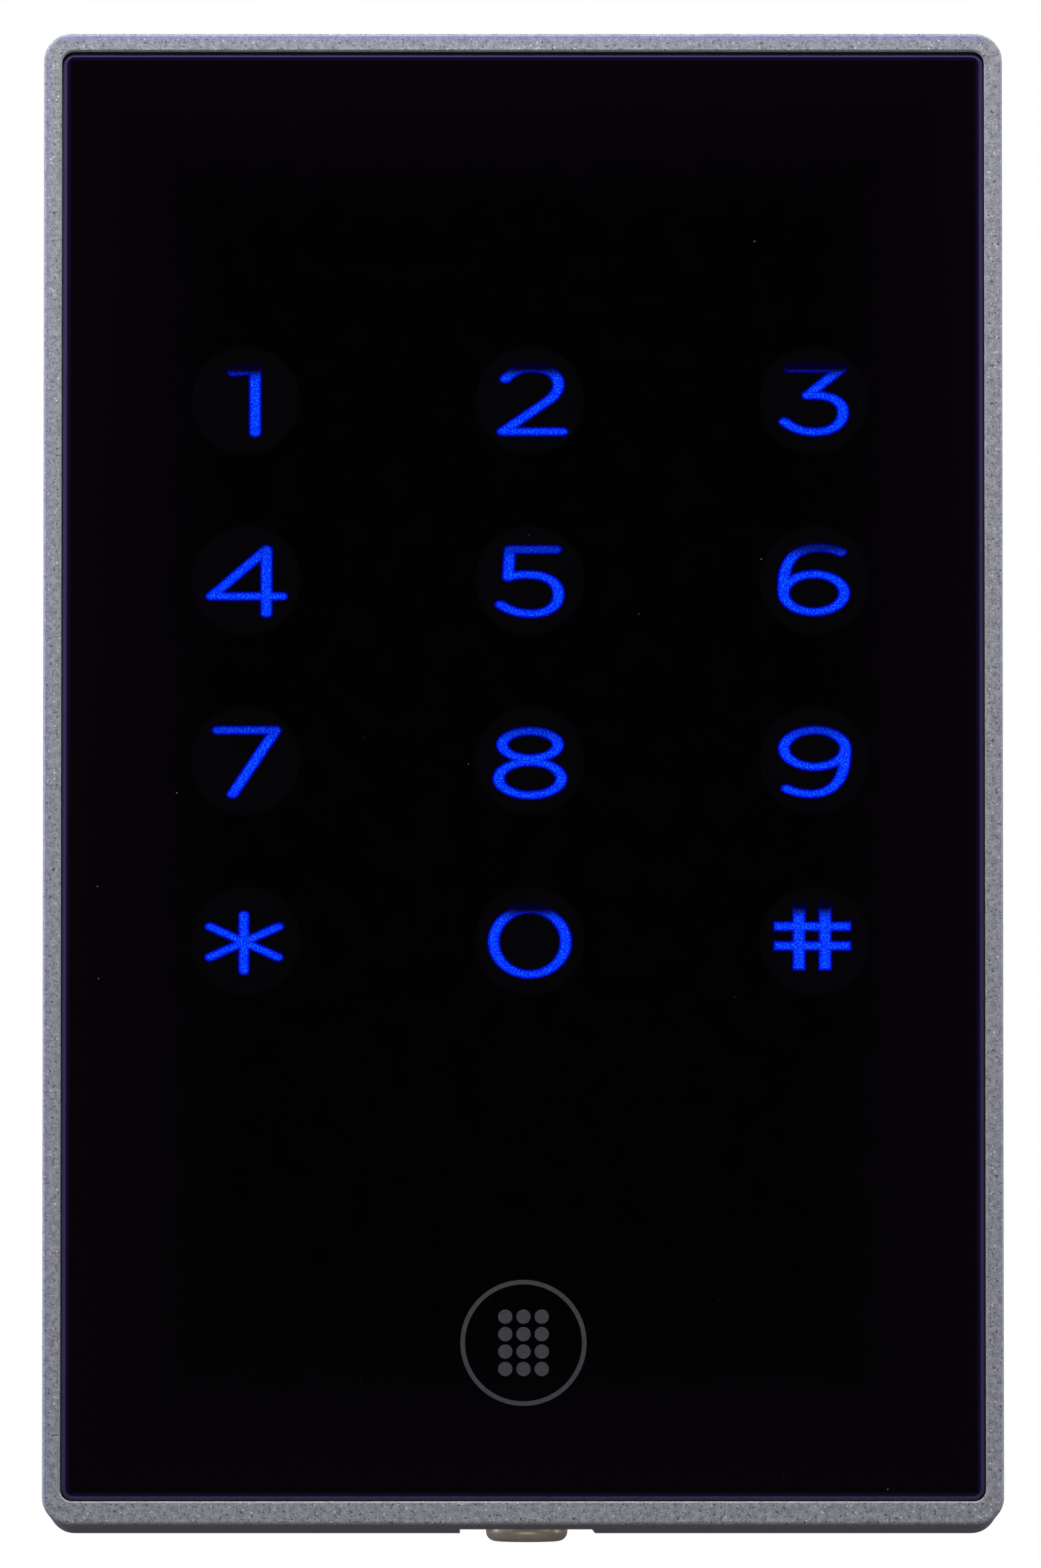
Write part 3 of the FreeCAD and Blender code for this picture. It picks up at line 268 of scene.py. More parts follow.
def metal(name, colour, brushed=(1, 1, 1), gloss=0.3, stain=0.25, depth=0.006, bare=1.0):
    """Metal with drawn scratches along one axis, duller patches and small stains.

    Bare is 1 for clean or plated metal, and less where a dark finish scatters light.
    """
    look = Look(name, metallic=bare)
    scratches = look.noise(0.12, 3.0, look.stretched(brushed))
    patches = look.noise(5.0, 3.0)
    dull = [channel * (1 - stain) for channel in colour[:3]] + [1.0]
    tone = look.mix(look.between(patches, 0.4, 0.7), colour, dull)
    tone = look.mix(look.between(scratches, 0.35, 0.7, 0.0, 0.5), tone, dull)
    spots = look.between(look.noise(0.8, 1.0), 0.68, 0.76, 0.0, 0.5)
    look.feed("Base Color", look.mix(spots, tone, [channel * 0.5 for channel in colour[:3]] + [1.0]))
    rough = look.between(scratches, 0.3, 0.7, gloss - 0.08, gloss + 0.12)
    look.feed("Roughness", look.math("ADD", rough, look.math("MULTIPLY", spots, 0.2)))
    look.bump(scratches, depth)
    return look.material


def circuit_board():
    """Green solder mask over copper: fine tracks, plated holes and the weave of the glass cloth."""
    look = Look("circuit_board", roughness=0.32, specular_ior_level=0.5, coat_weight=0.35)
    block = look.between(look.cells(7.0, "Color"), 0.48, 0.52)
    lanes = []
    for name, off in (("X", block), ("Z", look.math("SUBTRACT", 1.0, block))):
        lane = look.math("PINGPONG", look.axis(name), 0.65 * MM)
        lanes.append(look.math("ADD", lane, look.math("MULTIPLY", off, MM)))
    track = look.between(look.math("MINIMUM", *lanes), 0.12 * MM, 0.17 * MM, 1.0, 0.0)
    threads = [look.math("SINE", look.math("MULTIPLY", look.axis(name), 6000.0)) for name in "XZ"]
    weave = look.math("ADD", *threads)
    mask = look.mix(look.between(weave, -1.5, 1.5, 0.0, 0.25), srgb(14, 74, 42), srgb(24, 98, 58))
    mask = look.mix(track, mask, srgb(38, 122, 72))
    hole = look.between(look.cells(4.1), 0.085, 0.10, 1.0, 0.0)
    look.feed("Base Color", look.mix(hole, mask, srgb(200, 178, 120)))
    look.feed("Metallic", hole)
    relief = look.bump(track, 0.035)
    look.bump(weave, 0.006, over=relief)
    return look.material


def glowing_key(name, dark, bright):
    """Blue light through an etched legend: grainy, and dimmer towards the top where a mask shades it.

    The object's own values say how strongly it dims (fade) and from what height (top).
    """
    look = Look(name, **GLASS_SHINE)
    look.feed("Base Color", srgb(0, 0, 6))
    tone = look.mix(look.between(look.noise(0.13), 0.41, 0.69), dark, bright)
    tone = look.mix(look.between(look.noise(0.45), 0.40, 0.70, 0.0, 0.6), tone, dark)
    given = {}
    for value in ("fade", "top"):
        node = look.tree.nodes.new("ShaderNodeAttribute")
        node.attribute_type = "OBJECT"
        node.attribute_name = value
        given[value] = node.outputs["Fac"]
    depth = look.math("SUBTRACT", given["top"], look.axis("Z"))
    shade = look.math("MULTIPLY", look.between(depth, 0.18 * MM, 1.12 * MM, 1.0, 0.0), given["fade"])
    look.feed("Emission Color", look.mix(shade, tone, srgb(4, 0, 30)))
    look.feed("Emission Strength", 1.0)
    return look.material


def key_glare():
    """The dim violet-blue rim of light that spills round each legend inside the glass."""
    look = Look("key_glare", **GLASS_SHINE)
    look.feed("Base Color", srgb(2, 1, 8))
    look.feed("Emission Color", look.mix(look.noise(0.2), srgb(0, 0, 14), srgb(2, 2, 44)))
    look.feed("Emission Strength", 1.0)
    return look.material


def grey_print():
    """Grey screen-printed ink, slightly uneven."""
    look = Look("grey_print", roughness=0.5, specular_ior_level=0.2)
    look.feed("Base Color", look.mix(look.noise(0.25, 3.0), srgb(54, 54, 59), srgb(78, 78, 83)))
    look.bump(look.noise(0.12, 1.0), 0.004)
    return look.material


def floor_paint():
    look = Look("floor_paint", roughness=0.75)
    look.feed("Base Color", look.mix(look.noise(60.0, 4.0), srgb(226, 226, 224), srgb(236, 236, 234)))
    return look.material


def slot_looks():
    """The material of each slot that the record names."""
    return {
        "powder_coat": powder_coat(),
        "black_glass": black_glass(),
        "foam_tape": moulded("foam_tape", srgb(44, 44, 46), grain=0.2, depth=0.05, gloss=0.8),
        "printed_film": moulded(
            "printed_film", srgb(26, 26, 28), grain=0.12, depth=0.004, gloss=0.35
        ),
        "black_plastic": moulded("black_plastic", srgb(40, 40, 43), grain=0.30, depth=0.03, gloss=0.5),
        "diffuser_plastic": moulded(
            "diffuser_plastic", srgb(226, 230, 234), grain=0.2, depth=0.008, fleck=0.02
        ),
        "led_package": moulded("led_package", srgb(236, 224, 168), depth=0.005, gloss=0.3, fleck=0.05),
        "circuit_board": circuit_board(),
        "enamelled_wire": metal("enamelled_wire", srgb(196, 104, 52), gloss=0.28),
        "chip_plastic": moulded("chip_plastic", srgb(46, 46, 49), grain=0.15, depth=0.012, gloss=0.55),
        "tinned_metal": metal("tinned_metal", srgb(206, 206, 208), brushed=(1, 1, 4), gloss=0.25),
        "can_metal": metal("can_metal", srgb(200, 202, 206), brushed=(1, 6, 1), gloss=0.28),
        "header_plastic": moulded("header_plastic", srgb(232, 226, 206), depth=0.01, fleck=0.03),
        "spring_steel": metal("spring_steel", srgb(176, 178, 182), gloss=0.22),
        "zinc_steel": metal("zinc_steel", srgb(188, 192, 198), brushed=(1, 5, 1), gloss=0.28),
        "seal_rubber": moulded("seal_rubber", srgb(32, 32, 33), grain=0.5, depth=0.03, gloss=0.72),
        "brass": metal("brass", srgb(206, 168, 92), brushed=(1, 1, 5), gloss=0.26),
        "bracket_steel": metal(
            "bracket_steel", srgb(216, 218, 220), (14, 1, 1), gloss=0.34, stain=0.12, bare=0.5
        ),
        "washer_steel": metal("washer_steel", srgb(178, 174, 166), gloss=0.3),
        "dark_screw": metal(
            "dark_screw", srgb(240, 226, 198), (3, 3, 1), gloss=0.36, stain=0.3, bare=0.3
        ),
        "plunger_plastic": moulded(
            "plunger_plastic", srgb(196, 52, 40), depth=0.01, gloss=0.35, fleck=0.05
        ),
    }


# ---------------------------------------------------------------------------------------------
# Legends: strokes of an elliptical pen, in millimetres from each key's centre, as (x, z)
# ---------------------------------------------------------------------------------------------

ROUND_PEN = (0.52, 0.375)
STAR_PEN = (0.47, 0.37)
CURVE_STEPS = 20
CAP_STEPS = 8


def line(*ends):
    return [list(ends)]


def curve(*handles):
    """A cubic curve from its four handles."""
    spots = []
    for step in range(CURVE_STEPS + 1):
        along = step / CURVE_STEPS
        back = 1 - along
        weights = (back**3, 3 * along * back**2, 3 * along**2 * back, along**3)
        spots.append(tuple(sum(w * h[axis] for w, h in zip(weights, handles)) for axis in (0, 1)))
    return [spots]


def ring(centre, radii):
    """An ellipse, as two half turns."""
    halves = []
    for start in (0.0, math.pi):
        half = []
        for step in range(2 * CURVE_STEPS + 1):
            angle = start + math.pi * step / (2 * CURVE_STEPS)
            half.append((centre[0] + radii[0] * math.cos(angle), centre[1] + radii[1] * math.sin(angle)))
        halves.append(half)
    return halves


LEGENDS = {
    "1": line((-1.0, 2.3), (0.74, 2.5)) + line((0.74, 2.5), (0.74, -2.6)),
    "2": (
        curve((-1.95, 1.75), (-1.5, 2.3), (-0.7, 2.62), (0.2, 2.62))
        + curve((0.2, 2.62), (1.5, 2.62), (2.3, 2.1), (2.3, 1.3))
        + curve((2.3, 1.3), (2.3, 0.75), (1.9, 0.3), (1.4, -0.05))
        + line((1.4, -0.05), (-2.2, -2.5))
        + line((-2.2, -2.5), (2.6, -2.5))
    ),
    "3": (
        line((-1.9, 2.62), (2.25, 2.62))
        + line((2.25, 2.62), (-0.5, 0.42))
        + curve((-0.5, 0.42), (1.2, 0.5), (2.35, 0.1), (2.35, -0.95))
        + curve((2.35, -0.95), (2.35, -1.93), (1.4, -2.53), (0.1, -2.53))
        + curve((0.1, -2.53), (-0.9, -2.53), (-1.7, -2.23), (-2.35, -1.7))
    ),
    "4": (
        line((1.66, 2.5), (-2.75, -1.27))
        + line((-2.75, -1.27), (2.9, -1.27))
        + line((1.66, 2.5), (1.66, -2.65))
    ),
    "5": (
        line((-1.6, 2.5), (2.1, 2.5))
        + line((-1.6, 2.5), (-1.75, 0.25))
        + curve((-1.75, 0.25), (-1.0, 0.5), (-0.4, 0.48), (0.1, 0.46))
        + curve((0.1, 0.46), (1.5, 0.4), (2.3, -0.2), (2.3, -1.1))
        + curve((2.3, -1.1), (2.3, -2.1), (1.4, -2.67), (0.1, -2.67))
        + curve((0.1, -2.67), (-0.9, -2.67), (-1.7, -2.4), (-2.35, -1.95))
    ),
    "6": (
        ring((0.0, -1.01), (2.43, 1.52))
        + curve((-2.43, -1.0), (-2.6, 1.5), (-1.6, 2.6), (0.3, 2.65))
        + curve((0.3, 2.65), (1.0, 2.68), (1.7, 2.5), (2.15, 2.3))
    ),
    "7": line((-2.25, 2.45), (2.4, 2.45)) + line((2.4, 2.45), (-1.05, -2.7)),
    "8": ring((0.02, 1.275), (2.23, 1.1)) + ring((0.01, -1.44), (2.51, 1.34)),
    "9": (
        ring((0.05, 0.98), (2.46, 1.475))
        + curve((2.51, 1.0), (2.6, -1.4), (1.6, -2.65), (-0.2, -2.68))
        + curve((-0.2, -2.68), (-1.0, -2.7), (-1.7, -2.5), (-2.2, -2.25))
    ),
    "star": (
        line((-0.13, 2.1), (-0.13, -2.4))
        + line((-2.85, 1.15), (2.6, -1.3))
        + line((2.65, 1.15), (-2.85, -1.3))
    ),
    "0": ring((-0.01, -0.06), (2.89, 2.63)),
}
# The hash is four square-ended bars: centre x, centre z, half width, half height.
HASH_BARS = (
    (-1.22, 0.35, 0.55, 2.73),
    (0.87, 0.35, 0.55, 2.73),
    (-0.15, 1.18, 3.14, 0.41),
    (-0.15, -0.39, 3.14, 0.41),
)
# How far each legend dims at its top, from 0 to 1.
TOP_FADE = {
    "1": 1.0, "2": 1.0, "3": 1.0, "4": 0.2, "5": 0.5, "6": 0.85,
    "7": 0.3, "8": 0.4, "9": 0.4, "star": 0.0, "0": 1.0, "hash": 1.0,
}
# How far the outermost legend plate stands in front of the glass, and which corners count as one.
LEGEND_LIFT = 0.02 * MM
SAME_SPOT = 0.004 * MM


def pen_outline(path, pen, extra=0.0):
    """The anticlockwise outline that the pen leaves along a path: two sides and two round ends."""
    reach = (pen[0] + extra, pen[1] + extra)
    spots = [Vector((x / reach[0], z / reach[1])) for x, z in path]
    ahead = []
    for index in range(len(spots)):
        ahead.append((spots[min(index + 1, len(spots) - 1)] - spots[max(index - 1, 0)]).normalized())
    sides = [Vector((way.y, -way.x)) for way in ahead]
    outline = [spot + side for spot, side in zip(spots, sides)]
    for step in range(1, CAP_STEPS):
        turn = math.pi * step / CAP_STEPS
        outline.append(spots[-1] + math.cos(turn) * sides[-1] + math.sin(turn) * ahead[-1])
    outline += [spot - side for spot, side in reversed(list(zip(spots, sides)))]
    for step in range(1, CAP_STEPS):
        turn = math.pi * step / CAP_STEPS
        outline.append(spots[0] - math.cos(turn) * sides[0] - math.sin(turn) * ahead[0])
    return [(spot.x * reach[0], spot.y * reach[1]) for spot in outline]


def bar_outline(x, z, half_width, half_height, extra=0.0):
    wide, high = half_width + extra, half_height + extra
    return [(x - wide, z - high), (x + wide, z - high), (x + wide, z + high), (x - wide, z + high)]


def disc_outline(x, z, radius, steps=40):
    turns = [2 * math.pi * step / steps for step in range(steps)]
    return [(x + radius * math.cos(turn), z + radius * math.sin(turn)) for turn in turns]


def plate(name, outlines, centre, front, depth):
    """A thin closed plate facing -Y: the union of outlines in millimetres round a centre."""
    points, rings = [], []
    for outline in outlines:
        rings.append(list(range(len(points), len(points) + len(outline))))
        points += [Vector(spot) for spot in outline]
    spots, _, faces, _, _, sources = delaunay_2d_cdt(points, [], rings, 0, 1e-5)
    mesh = bmesh.new()
    corners = [mesh.verts.new((centre[0] + s.x * MM, front + depth, centre[1] + s.y * MM)) for s in spots]
    for face, source in zip(faces, sources):
        if source:
            mesh.faces.new([corners[index] for index in face])
    bmesh.ops.delete(mesh, geom=[v for v in mesh.verts if not v.link_faces], context="VERTS")
    bmesh.ops.remove_doubles(mesh, verts=mesh.verts, dist=SAME_SPOT)
    pulled = bmesh.ops.extrude_face_region(mesh, geom=mesh.faces[:])
    moved = [item for item in pulled["geom"] if isinstance(item, bmesh.types.BMVert)]
    bmesh.ops.translate(mesh, verts=moved, vec=(0, -depth, 0))
    bmesh.ops.recalc_face_normals(mesh, faces=mesh.faces)
    return finished(name, mesh)


def finished(name, mesh, smooth_angle=None):
    """An object from a bmesh, linked into the scene."""
    data = bpy.data.meshes.new(name)
    mesh.to_mesh(data)
    mesh.free()
    if smooth_angle is not None:
        data.polygons.foreach_set("use_smooth", [True] * len(data.polygons))
        data.set_sharp_from_angle(angle=math.radians(smooth_angle))
    piece = bpy.data.objects.new(name, data)
    bpy.context.scene.collection.objects.link(piece)
    return piece


def add_legends():
    """Each key's lit legend in four plates: stray light, the stroke's dim edge, stroke and core."""
    layers = (
        ("glare", 0.11, key_glare()),
        ("edge", 0.0, glowing_key("key_edge", srgb(0, 0, 110), srgb(0, 12, 195))),
        ("stroke", -0.08, glowing_key("key_stroke", srgb(0, 12, 222), srgb(2, 62, 255))),
        ("legend", -0.20, glowing_key("key_core", srgb(2, 30, 247), srgb(20, 114, 255))),
    )
    for row, names in enumerate(KEY_ORDER):
        for column, name in enumerate(names):
            x = KEY_CENTRE.x + (column - 1) * KEY_PITCH[0]
            z = KEY_CENTRE.z + (1.5 - row) * KEY_PITCH[1]
            for layer, (kind, extra, look) in enumerate(layers, start=1):
                if name == "hash":
                    outlines = [bar_outline(*bar, extra) for bar in HASH_BARS]
                else:
                    pen = STAR_PEN if name == "star" else ROUND_PEN
                    outlines = [pen_outline(path, pen, extra) for path in LEGENDS[name]]
                lift = LEGEND_LIFT * layer / len(layers)
                piece = plate(f"{kind}_{name}", outlines, (x, z), GLASS[0].y - lift, lift)
                piece.data.materials.append(look)
                piece["fade"] = TOP_FADE[name]
                piece["top"] = max(vert.co.z for vert in piece.data.vertices)
                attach(piece, "reader")


# ---------------------------------------------------------------------------------------------
# Keypad mark: three by four dots in a ring, printed low on the glass
# ---------------------------------------------------------------------------------------------

MARK_CENTRE = (0.04 * MM, -45.4 * MM)
MARK_RADIUS = 4.87
MARK_LINE = (0.185, 0.185)
MARK_DOT = 0.575
MARK_PITCH = (1.46, 1.4)


def add_keypad_mark():
    outlines = [pen_outline(half, MARK_LINE) for half in ring((0, 0), (MARK_RADIUS, MARK_RADIUS))]
    for row in range(4):
        for column in range(3):
            x, z = (column - 1) * MARK_PITCH[0], (1.5 - row) * MARK_PITCH[1]
            outlines.append(disc_outline(x, z, MARK_DOT))
    mark = plate("keypad_mark", outlines, MARK_CENTRE, GLASS[0].y - LEGEND_LIFT, LEGEND_LIFT)
    mark.data.materials.append(grey_print())
    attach(mark, "reader")


# ---------------------------------------------------------------------------------------------
# Turned and wound parts that stand for plainer CAD solids. Profiles are in millimetres.
# ---------------------------------------------------------------------------------------------

TURN_STEPS = 48
HEXAGON = 6
# The signs of x and z in the four quarters, anticlockwise from the upper right.
QUARTERS = ((1, 1), (-1, 1), (-1, -1), (1, -1))
THREAD_PITCH = 0.5
THREAD_CREST = 1.5
THREAD_ROOT = 1.22
WIRE_ROWS = 3
WIRE_TURNS = 6
COIL_CORNER = 4 * MM
WIRE_FILL = 0.46
CHIP_BEVEL = 0.25
DIMPLE_RADIUS = 0.35
DIMPLE_DEPTH = 0.08
DIMPLE_INSET = 1.0
QUARTER_STEPS = 6


def bridge(mesh, first, second):
    """Faces between two rings of corners, either of which may be a single point."""
    count = max(len(first), len(second))
    for step in range(count):
        ahead = (step + 1) % count
        corners = []
        for ring, place in ((first, step), (first, ahead), (second, ahead), (second, step)):
            corner = ring[place % len(ring)]
            if corner not in corners:
                corners.append(corner)
        mesh.faces.new(corners)


def turned(mesh, profile, base, direction=(0, 0, 1), bored=False):
    """A solid turned about an axis. Its profile runs from end to end as (radius, height).

    A third value makes that ring a polygon with so many sides and the radius at its corners.
    The profile of a bored solid runs all the way round its wall.
    """
    turn = Vector((0, 0, 1)).rotation_difference(Vector(direction))
    rings = []
    for radius, height, *sides in profile:
        corners = []
        for step in range(TURN_STEPS if radius else 1):
            angle = 2 * math.pi * step / TURN_STEPS
            reach = radius
            if sides:
                sector = math.pi / sides[0]
                reach *= math.cos(sector) / math.cos(angle % (2 * sector) - sector)
            spot = Vector((reach * math.cos(angle), reach * math.sin(angle), height))
            corners.append(mesh.verts.new(base + turn @ spot * MM))
        rings.append(corners)
    for lower, upper in zip(rings, rings[1:] + rings[:1] if bored else rings[1:]):
        bridge(mesh, lower, upper)


def rounded(radius, height, corner, start, end, steps=6):
    """The points of a turned profile's round corner, about (radius, height), between two angles."""
    points = []
    for step in range(steps + 1):
        angle = math.radians(start + (end - start) * step / steps)
        points.append((radius + corner * math.cos(angle), height + corner * math.sin(angle)))
    return points


def add_thread(mesh, base, low, high):
    """A right-hand thread up +Z whose two ends run out into the core."""
    per_turn = TURN_STEPS // 2
    steps = round((high - low) / THREAD_PITCH * per_turn)
    rings = []
    for step in range(steps + 1):
        angle = 2 * math.pi * step / per_turn
        rise = low + THREAD_PITCH * step / per_turn
        full = min(1.0, 2 * min(step, steps - step) / per_turn)
        crest = THREAD_ROOT + (THREAD_CREST - THREAD_ROOT) * full
        ring = []
        for radius, offset in ((THREAD_ROOT, -0.44), (crest, -0.07), (crest, 0.07), (THREAD_ROOT, 0.44)):
            height = rise + offset * THREAD_PITCH
            spot = Vector((radius * math.cos(angle), radius * math.sin(angle), height))
            ring.append(mesh.verts.new(base + spot * MM))
        rings.append(ring)
    for lower, upper in zip(rings, rings[1:]):
        bridge(mesh, lower, upper)
    mesh.faces.new(rings[0])
    mesh.faces.new(rings[-1])


def add_locking_screw():
    """The security screw: a six-sided drive round a pin, a domed head and a cut thread."""
    base = Vector(((SCREW[0].x + SCREW[1].x) / 2, (SCREW[0].y + SCREW[1].y) / 2, SCREW[0].z))
    length = (SCREW[1].z - SCREW[0].z) / MM
    head = (SCREW[1].x - SCREW[0].x) / 2 / MM
    thick = (WASHER[0].z - SCREW[0].z) / MM
    pin, drive, drive_deep, dome = 0.4, 1.3, 0.8, 0.8
    core = THREAD_ROOT + 0.03
    profile = [(0, 0.1), (pin - 0.08, 0.1), (pin, 0.18), (pin, drive_deep)]
    profile += [(drive, drive_deep, HEXAGON), (drive, 0.1, HEXAGON), (drive + 0.15, 0.0)]
    profile += rounded(head - dome, dome, dome, -90, 0)
    profile += [(head, thick - 0.08), (head - 0.08, thick), (THREAD_CREST, thick), (core, thick + 0.25)]
    profile += [(core, length - 0.4), (core - 0.35, length), (0, length)]
    mesh = bmesh.new()
    turned(mesh, profile, base)
    add_thread(mesh, base, thick + 0.6, length - 0.4)
    keep("locking_screw", mesh, "dark_screw", "screw", "security_screw")


def add_antenna():
    """The antenna's turns of enamelled wire, wound in rows round a rounded rectangle."""
    low, high = COIL
    pitch = (high.y - low.y) / WIRE_ROWS
    mesh = bmesh.new()
    for row in range(WIRE_ROWS):
        for turn in range(WIRE_TURNS):
            bend = COIL_CORNER - (turn + 0.5) * pitch
            y = low.y + (row + 0.5) * pitch
            path = []
            for quarter, (side_x, side_z) in enumerate(QUARTERS):
                middle = Vector((side_x * (high.x - COIL_CORNER), y, side_z * (high.z - COIL_CORNER)))
                for x, z in rounded(0, 0, bend, 90 * quarter, 90 * quarter + 90):
                    path.append(middle + Vector((x, 0, z)))
            add_wire(mesh, path, WIRE_FILL * pitch)
    keep("antenna_turns", mesh, "enamelled_wire", "reader", "antenna_coil")


def add_wire(mesh, path, radius, steps=8):
    """A round wire along a closed path in a plane that faces Y."""
    out = Vector((0, 1, 0))
    rings = []
    for index, spot in enumerate(path):
        ahead = path[(index + 1) % len(path)] - path[index - 1]
        side = ahead.cross(out).normalized()
        ring = []
        for step in range(steps):
            angle = 2 * math.pi * step / steps
            ring.append(mesh.verts.new(spot + radius * (math.cos(angle) * side + math.sin(angle) * out)))
        rings.append(ring)
    for first, second in zip(rings, rings[1:] + rings[:1]):
        bridge(mesh, first, second)


def add_capacitors():
    """Two aluminium cans, each crimped above a plastic base that has two cut corners."""
    low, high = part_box("capacitors")
    half = (high.z - low.z) / 2 / MM
    tall = (high.y - low.y) / MM
    wide, crimp, top_round = 3.15, 2.95, 0.2
    can = [(0, 0.6), (2.9, 0.6), (wide, 0.75), (wide, 1.3)]
    can += [(crimp, 1.5), (crimp, 1.65), (wide, 1.85)]
    can += rounded(wide - top_round, tall - top_round, top_round, 0, 90)
    can += [(2.5, tall), (2.4, tall - 0.08), (0, tall - 0.08)]
    cut = half - 1.1
    base = [(-half, -half), (half, -half), (half, cut), (cut, half), (-cut, half), (-half, cut)]
    cans = bmesh.new()
    for index, x in enumerate((low.x + half * MM, high.x - half * MM)):
        middle = Vector((x, low.y, (low.z + high.z) / 2))
        turned(cans, can, middle, (0, 1, 0))
        foot = plate(f"capacitor_base_{index}", [base], (middle.x, middle.z), low.y, 0.7 * MM)
        dress(foot, "black_plastic", "reader", "capacitors")
    keep("capacitor_cans", cans, "can_metal", "reader", "capacitors")


def add_grommet():
    """The cable grommet, with rounded lips and a waist that the cover's hole sits in."""
    low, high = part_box("cable_grommet")
    base = Vector(((low.x + high.x) / 2, low.y, (low.z + high.z) / 2))
    reach = (high.x - low.x) / 2 / MM
    long = (high.y - low.y) / MM
    hole, waist, lip_round, lip_thick = 3.0, 4.5, 0.4, 1.0
    half = [(hole, 0.45), (hole + 0.15, 0.15), (hole + 0.5, 0.0)]
    half += rounded(reach - lip_round, lip_round, lip_round, -90, 0)
    half += [(reach - 0.15, lip_thick), (waist, lip_thick)]
    profile = half + [(radius, long - height) for radius, height in reversed(half)]
    mesh = bmesh.new()
    turned(mesh, profile, base, (0, 1, 0), bored=True)
    keep("grommet", mesh, "seal_rubber", "reader", "cable_grommet")


def add_chips():
    """The three chips' bodies: bevelled slabs with a dimple by the first lead."""
    for node in ("processor_ic", "touch_ic", "rf_ic"):
        low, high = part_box(node)
        half_x, half_z = (high.x - low.x) / 2, (high.z - low.z) / 2
        middle = Vector(((low.x + high.x) / 2, low.y, (low.z + high.z) / 2))
        thick = high.y - low.y
        mesh = bmesh.new()
        rings = []
        for inset, rise in ((CHIP_BEVEL, 0.0), (0.0, 0.45), (0.0, 0.55), (CHIP_BEVEL, 1.0)):
            reach_x, reach_z = half_x - inset * MM, half_z - inset * MM
            ring = []
            for side_x, side_z in QUARTERS:
                offset = Vector((side_x * reach_x, rise * thick, side_z * reach_z))
                ring.append(mesh.verts.new(middle + offset))
            rings.append(ring)
        for first, second in zip(rings, rings[1:]):
            bridge(mesh, first, second)
        mesh.faces.new(rings[0])
        top = mesh.faces.new(rings[-1])
        offset = Vector((half_x - DIMPLE_INSET * MM, thick, half_z - DIMPLE_INSET * MM))
        add_dimple(mesh, top, middle + offset)
        keep(f"{node}_body", mesh, "chip_plastic", "reader", node)


def add_dimple(mesh, face, centre):
    """Sinks a shallow round dimple into a four-cornered face that faces the wall."""
    corners = list(face.verts)
    mesh.faces.remove(face)
    sunk = centre - Vector((0, DIMPLE_DEPTH * MM, 0))
    steps = 4 * QUARTER_STEPS
    rim, floor = [], []
    for step in range(steps):
        angle = 2 * math.pi * step / steps
        along = DIMPLE_RADIUS * MM * Vector((math.cos(angle), 0, math.sin(angle)))
        rim.append(mesh.verts.new(centre + along))
        floor.append(mesh.verts.new(sunk + 0.7 * along))
    bridge(mesh, rim, floor)
    mesh.faces.new(floor)
    for side in range(4):
        arc = [rim[(side * QUARTER_STEPS + step) % steps] for step in range(QUARTER_STEPS + 1)]
        mesh.faces.new([corners[side], *arc])
        mesh.faces.new([corners[side], arc[-1], corners[(side + 1) % 4]])


def keep(name, mesh, slot, body, *nodes):
    """Makes a finished mesh into a piece that rides on a body and stands for CAD nodes."""
    bmesh.ops.recalc_face_normals(mesh, faces=mesh.faces)
    dress(finished(name, mesh, smooth_angle=32), slot, body, *nodes)


def dress(piece, slot, body, *nodes):
    piece.data.materials.append(LOOKS[slot])
    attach(piece, body)
    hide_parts(*nodes)


# ---------------------------------------------------------------------------------------------
# Studio
# ---------------------------------------------------------------------------------------------


FLOOR_BELOW = 3.4


def aim(thing, target):
    thing.rotation_euler = (Vector(target) - thing.location).to_track_quat("-Z", "Y").to_euler()


def add_camera():
    """Looks at the front from slightly below, from far enough away to flatten the perspective."""
    distance, elevation = 1.8, math.radians(-4.3)
    target = Vector((-0.20 * MM, GLASS[0].y, -0.53 * MM))
    data = bpy.data.cameras.new("camera")
    data.sensor_width = 36.0
    data.lens = 515.2
    data.clip_start, data.clip_end = 0.05, 20.0
    camera = bpy.data.objects.new("camera", data)
    camera.location = target + distance * Vector((0, -math.cos(elevation), math.sin(elevation)))
    bpy.context.scene.collection.objects.link(camera)
    aim(camera, target)
    bpy.context.scene.camera = camera


def add_light(name, place, target, size, power, colour):
    data = bpy.data.lights.new(name, "AREA")
    data.shape = "RECTANGLE"
    data.size, data.size_y = size
    data.energy = power
    data.color = colour
    lamp = bpy.data.objects.new(name, data)
    lamp.location = place
    bpy.context.scene.collection.objects.link(lamp)
    aim(lamp, target)


def add_floor():
    """A wide pale floor, far enough down for the reader to be seen from below."""
    mesh = bmesh.new()
    bmesh.ops.create_grid(mesh, x_segments=8, y_segments=8, size=12.0)
    bmesh.ops.translate(mesh, verts=mesh.verts, vec=(0, 0, -FLOOR_BELOW))
    floor = finished("floor", mesh)
    floor.data.materials.append(floor_paint())
    floor.visible_diffuse = False
    floor.visible_glossy = False


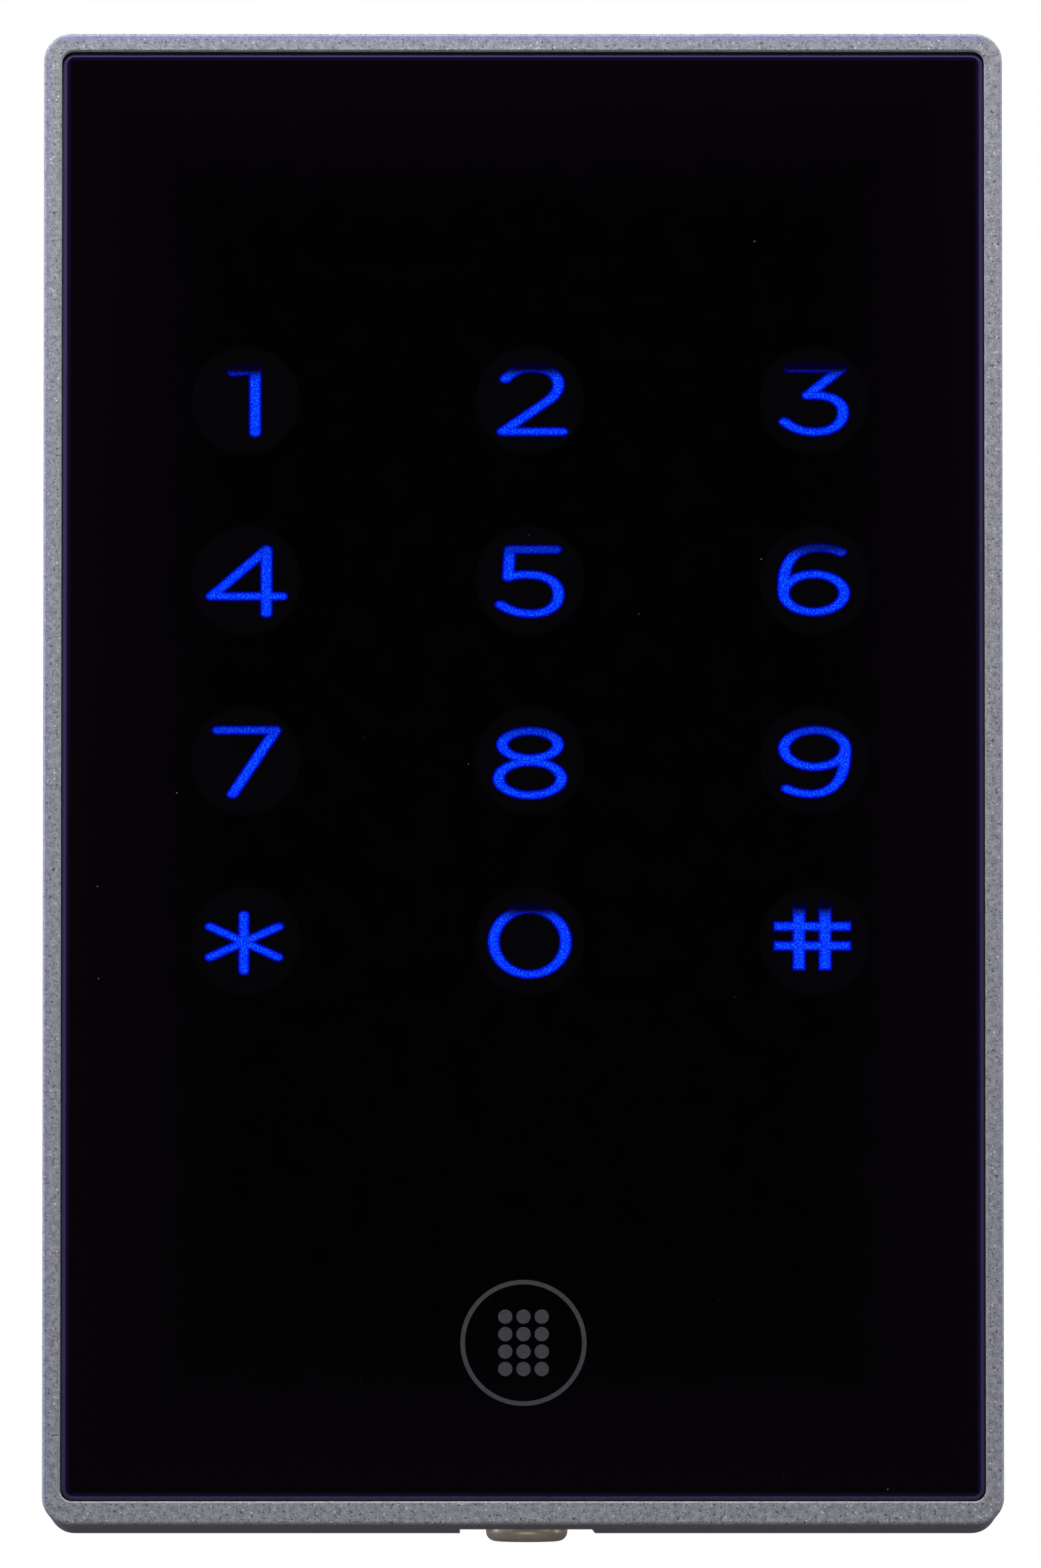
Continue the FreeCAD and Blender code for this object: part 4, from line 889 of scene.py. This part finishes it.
def add_world():
    """White to the camera. What the object sees is bright behind and above it and dark in front."""
    world = bpy.data.worlds.new("studio")
    world.use_nodes = True
    bpy.context.scene.world = world
    tree = world.node_tree
    nodes, links = tree.nodes, tree.links
    where = nodes.new("ShaderNodeSeparateXYZ")
    links.new(nodes.new("ShaderNodeTexCoord").outputs["Generated"], where.inputs[0])

    def ramp(axis, low, high):
        node = nodes.new("ShaderNodeMapRange")
        node.interpolation_type = "SMOOTHSTEP"
        links.new(where.outputs[axis], node.inputs["Value"])
        node.inputs["From Min"].default_value = low
        node.inputs["From Max"].default_value = high
        return node.outputs["Result"]

    def blend(share, first, second):
        node = nodes.new("ShaderNodeMix")
        node.data_type = "RGBA"
        links.new(share, node.inputs[0])
        for index, value in ((6, first), (7, second)):
            if isinstance(value, bpy.types.NodeSocket):
                links.new(value, node.inputs[index])
            else:
                node.inputs[index].default_value = value
        return node.outputs[2]

    level = blend(ramp("Y", -0.15, 0.55), srgb(14, 14, 16), (0.92, 0.93, 1.02, 1.0))
    level = blend(ramp("Z", 0.10, 0.85), level, (0.75, 0.76, 0.80, 1.0))
    below = blend(ramp("Z", -0.12, 0.12), srgb(66, 58, 66), level)
    seen = blend(nodes.new("ShaderNodeLightPath").outputs["Is Camera Ray"], below, (1.0, 1.0, 1.0, 1.0))
    links.new(seen, nodes["Background"].inputs["Color"])


def light_studio():
    bpy.context.scene.view_settings.view_transform = "Standard"
    add_world()
    middle = (0, -0.02, 0)
    add_light("key_light", (-0.04, -0.22, 0.24), middle, (0.14, 0.07), 0.79, (1.0, 0.99, 0.99))
    add_light("left_light", (-1.1, -0.75, -0.08), middle, (0.5, 0.5), 1.6, (0.86, 0.93, 1.0))
    add_light("right_light", (1.1, -0.75, -0.08), middle, (0.5, 0.5), 1.6, (1.0, 0.98, 0.93))
    add_light("left_edge_light", (-1.2, 0.12, 0.10), middle, (0.2, 0.9), 6.0, (0.72, 0.75, 1.0))
    add_light("right_edge_light", (1.2, 0.12, 0.05), middle, (0.2, 0.9), 3.0, (0.84, 0.82, 1.0))
    add_light("lower_light", (0.0, -0.42, -0.46), middle, (0.4, 0.02), 0.34, (1.0, 0.97, 0.90))
    add_light("back_light", (0.1, 1.2, 0.7), middle, (0.9, 0.9), 16.0, (1.0, 1.0, 1.0))
    add_floor()


# ---------------------------------------------------------------------------------------------
# The object
# ---------------------------------------------------------------------------------------------


def dress_frame():
    """Gives every CAD node the look of the slot that the record names for it."""
    for part in frame["record"]["subparts"]:
        node = frame["nodes"][part["node"]]
        for slot in node.material_slots:
            slot.material = LOOKS[part["material_slot"]]


def ease_edges():
    """Breaks the sharp edges of the stamped and moulded CAD parts, so that they catch light."""
    for name in ("wall_bracket", "rear_cover", "hook_rod", "screw_washer", "buzzer", "harness_header"):
        eased = frame["nodes"][name].modifiers.new("eased_edges", "BEVEL")
        eased.width = 0.12 * MM
        eased.segments = 2
        eased.limit_method = "ANGLE"
        eased.angle_limit = math.radians(40)


add_camera()
light_studio()
LOOKS = slot_looks()
dress_frame()
add_legends()
add_keypad_mark()
add_locking_screw()
add_antenna()
add_capacitors()
add_grommet()
add_chips()
ease_edges()
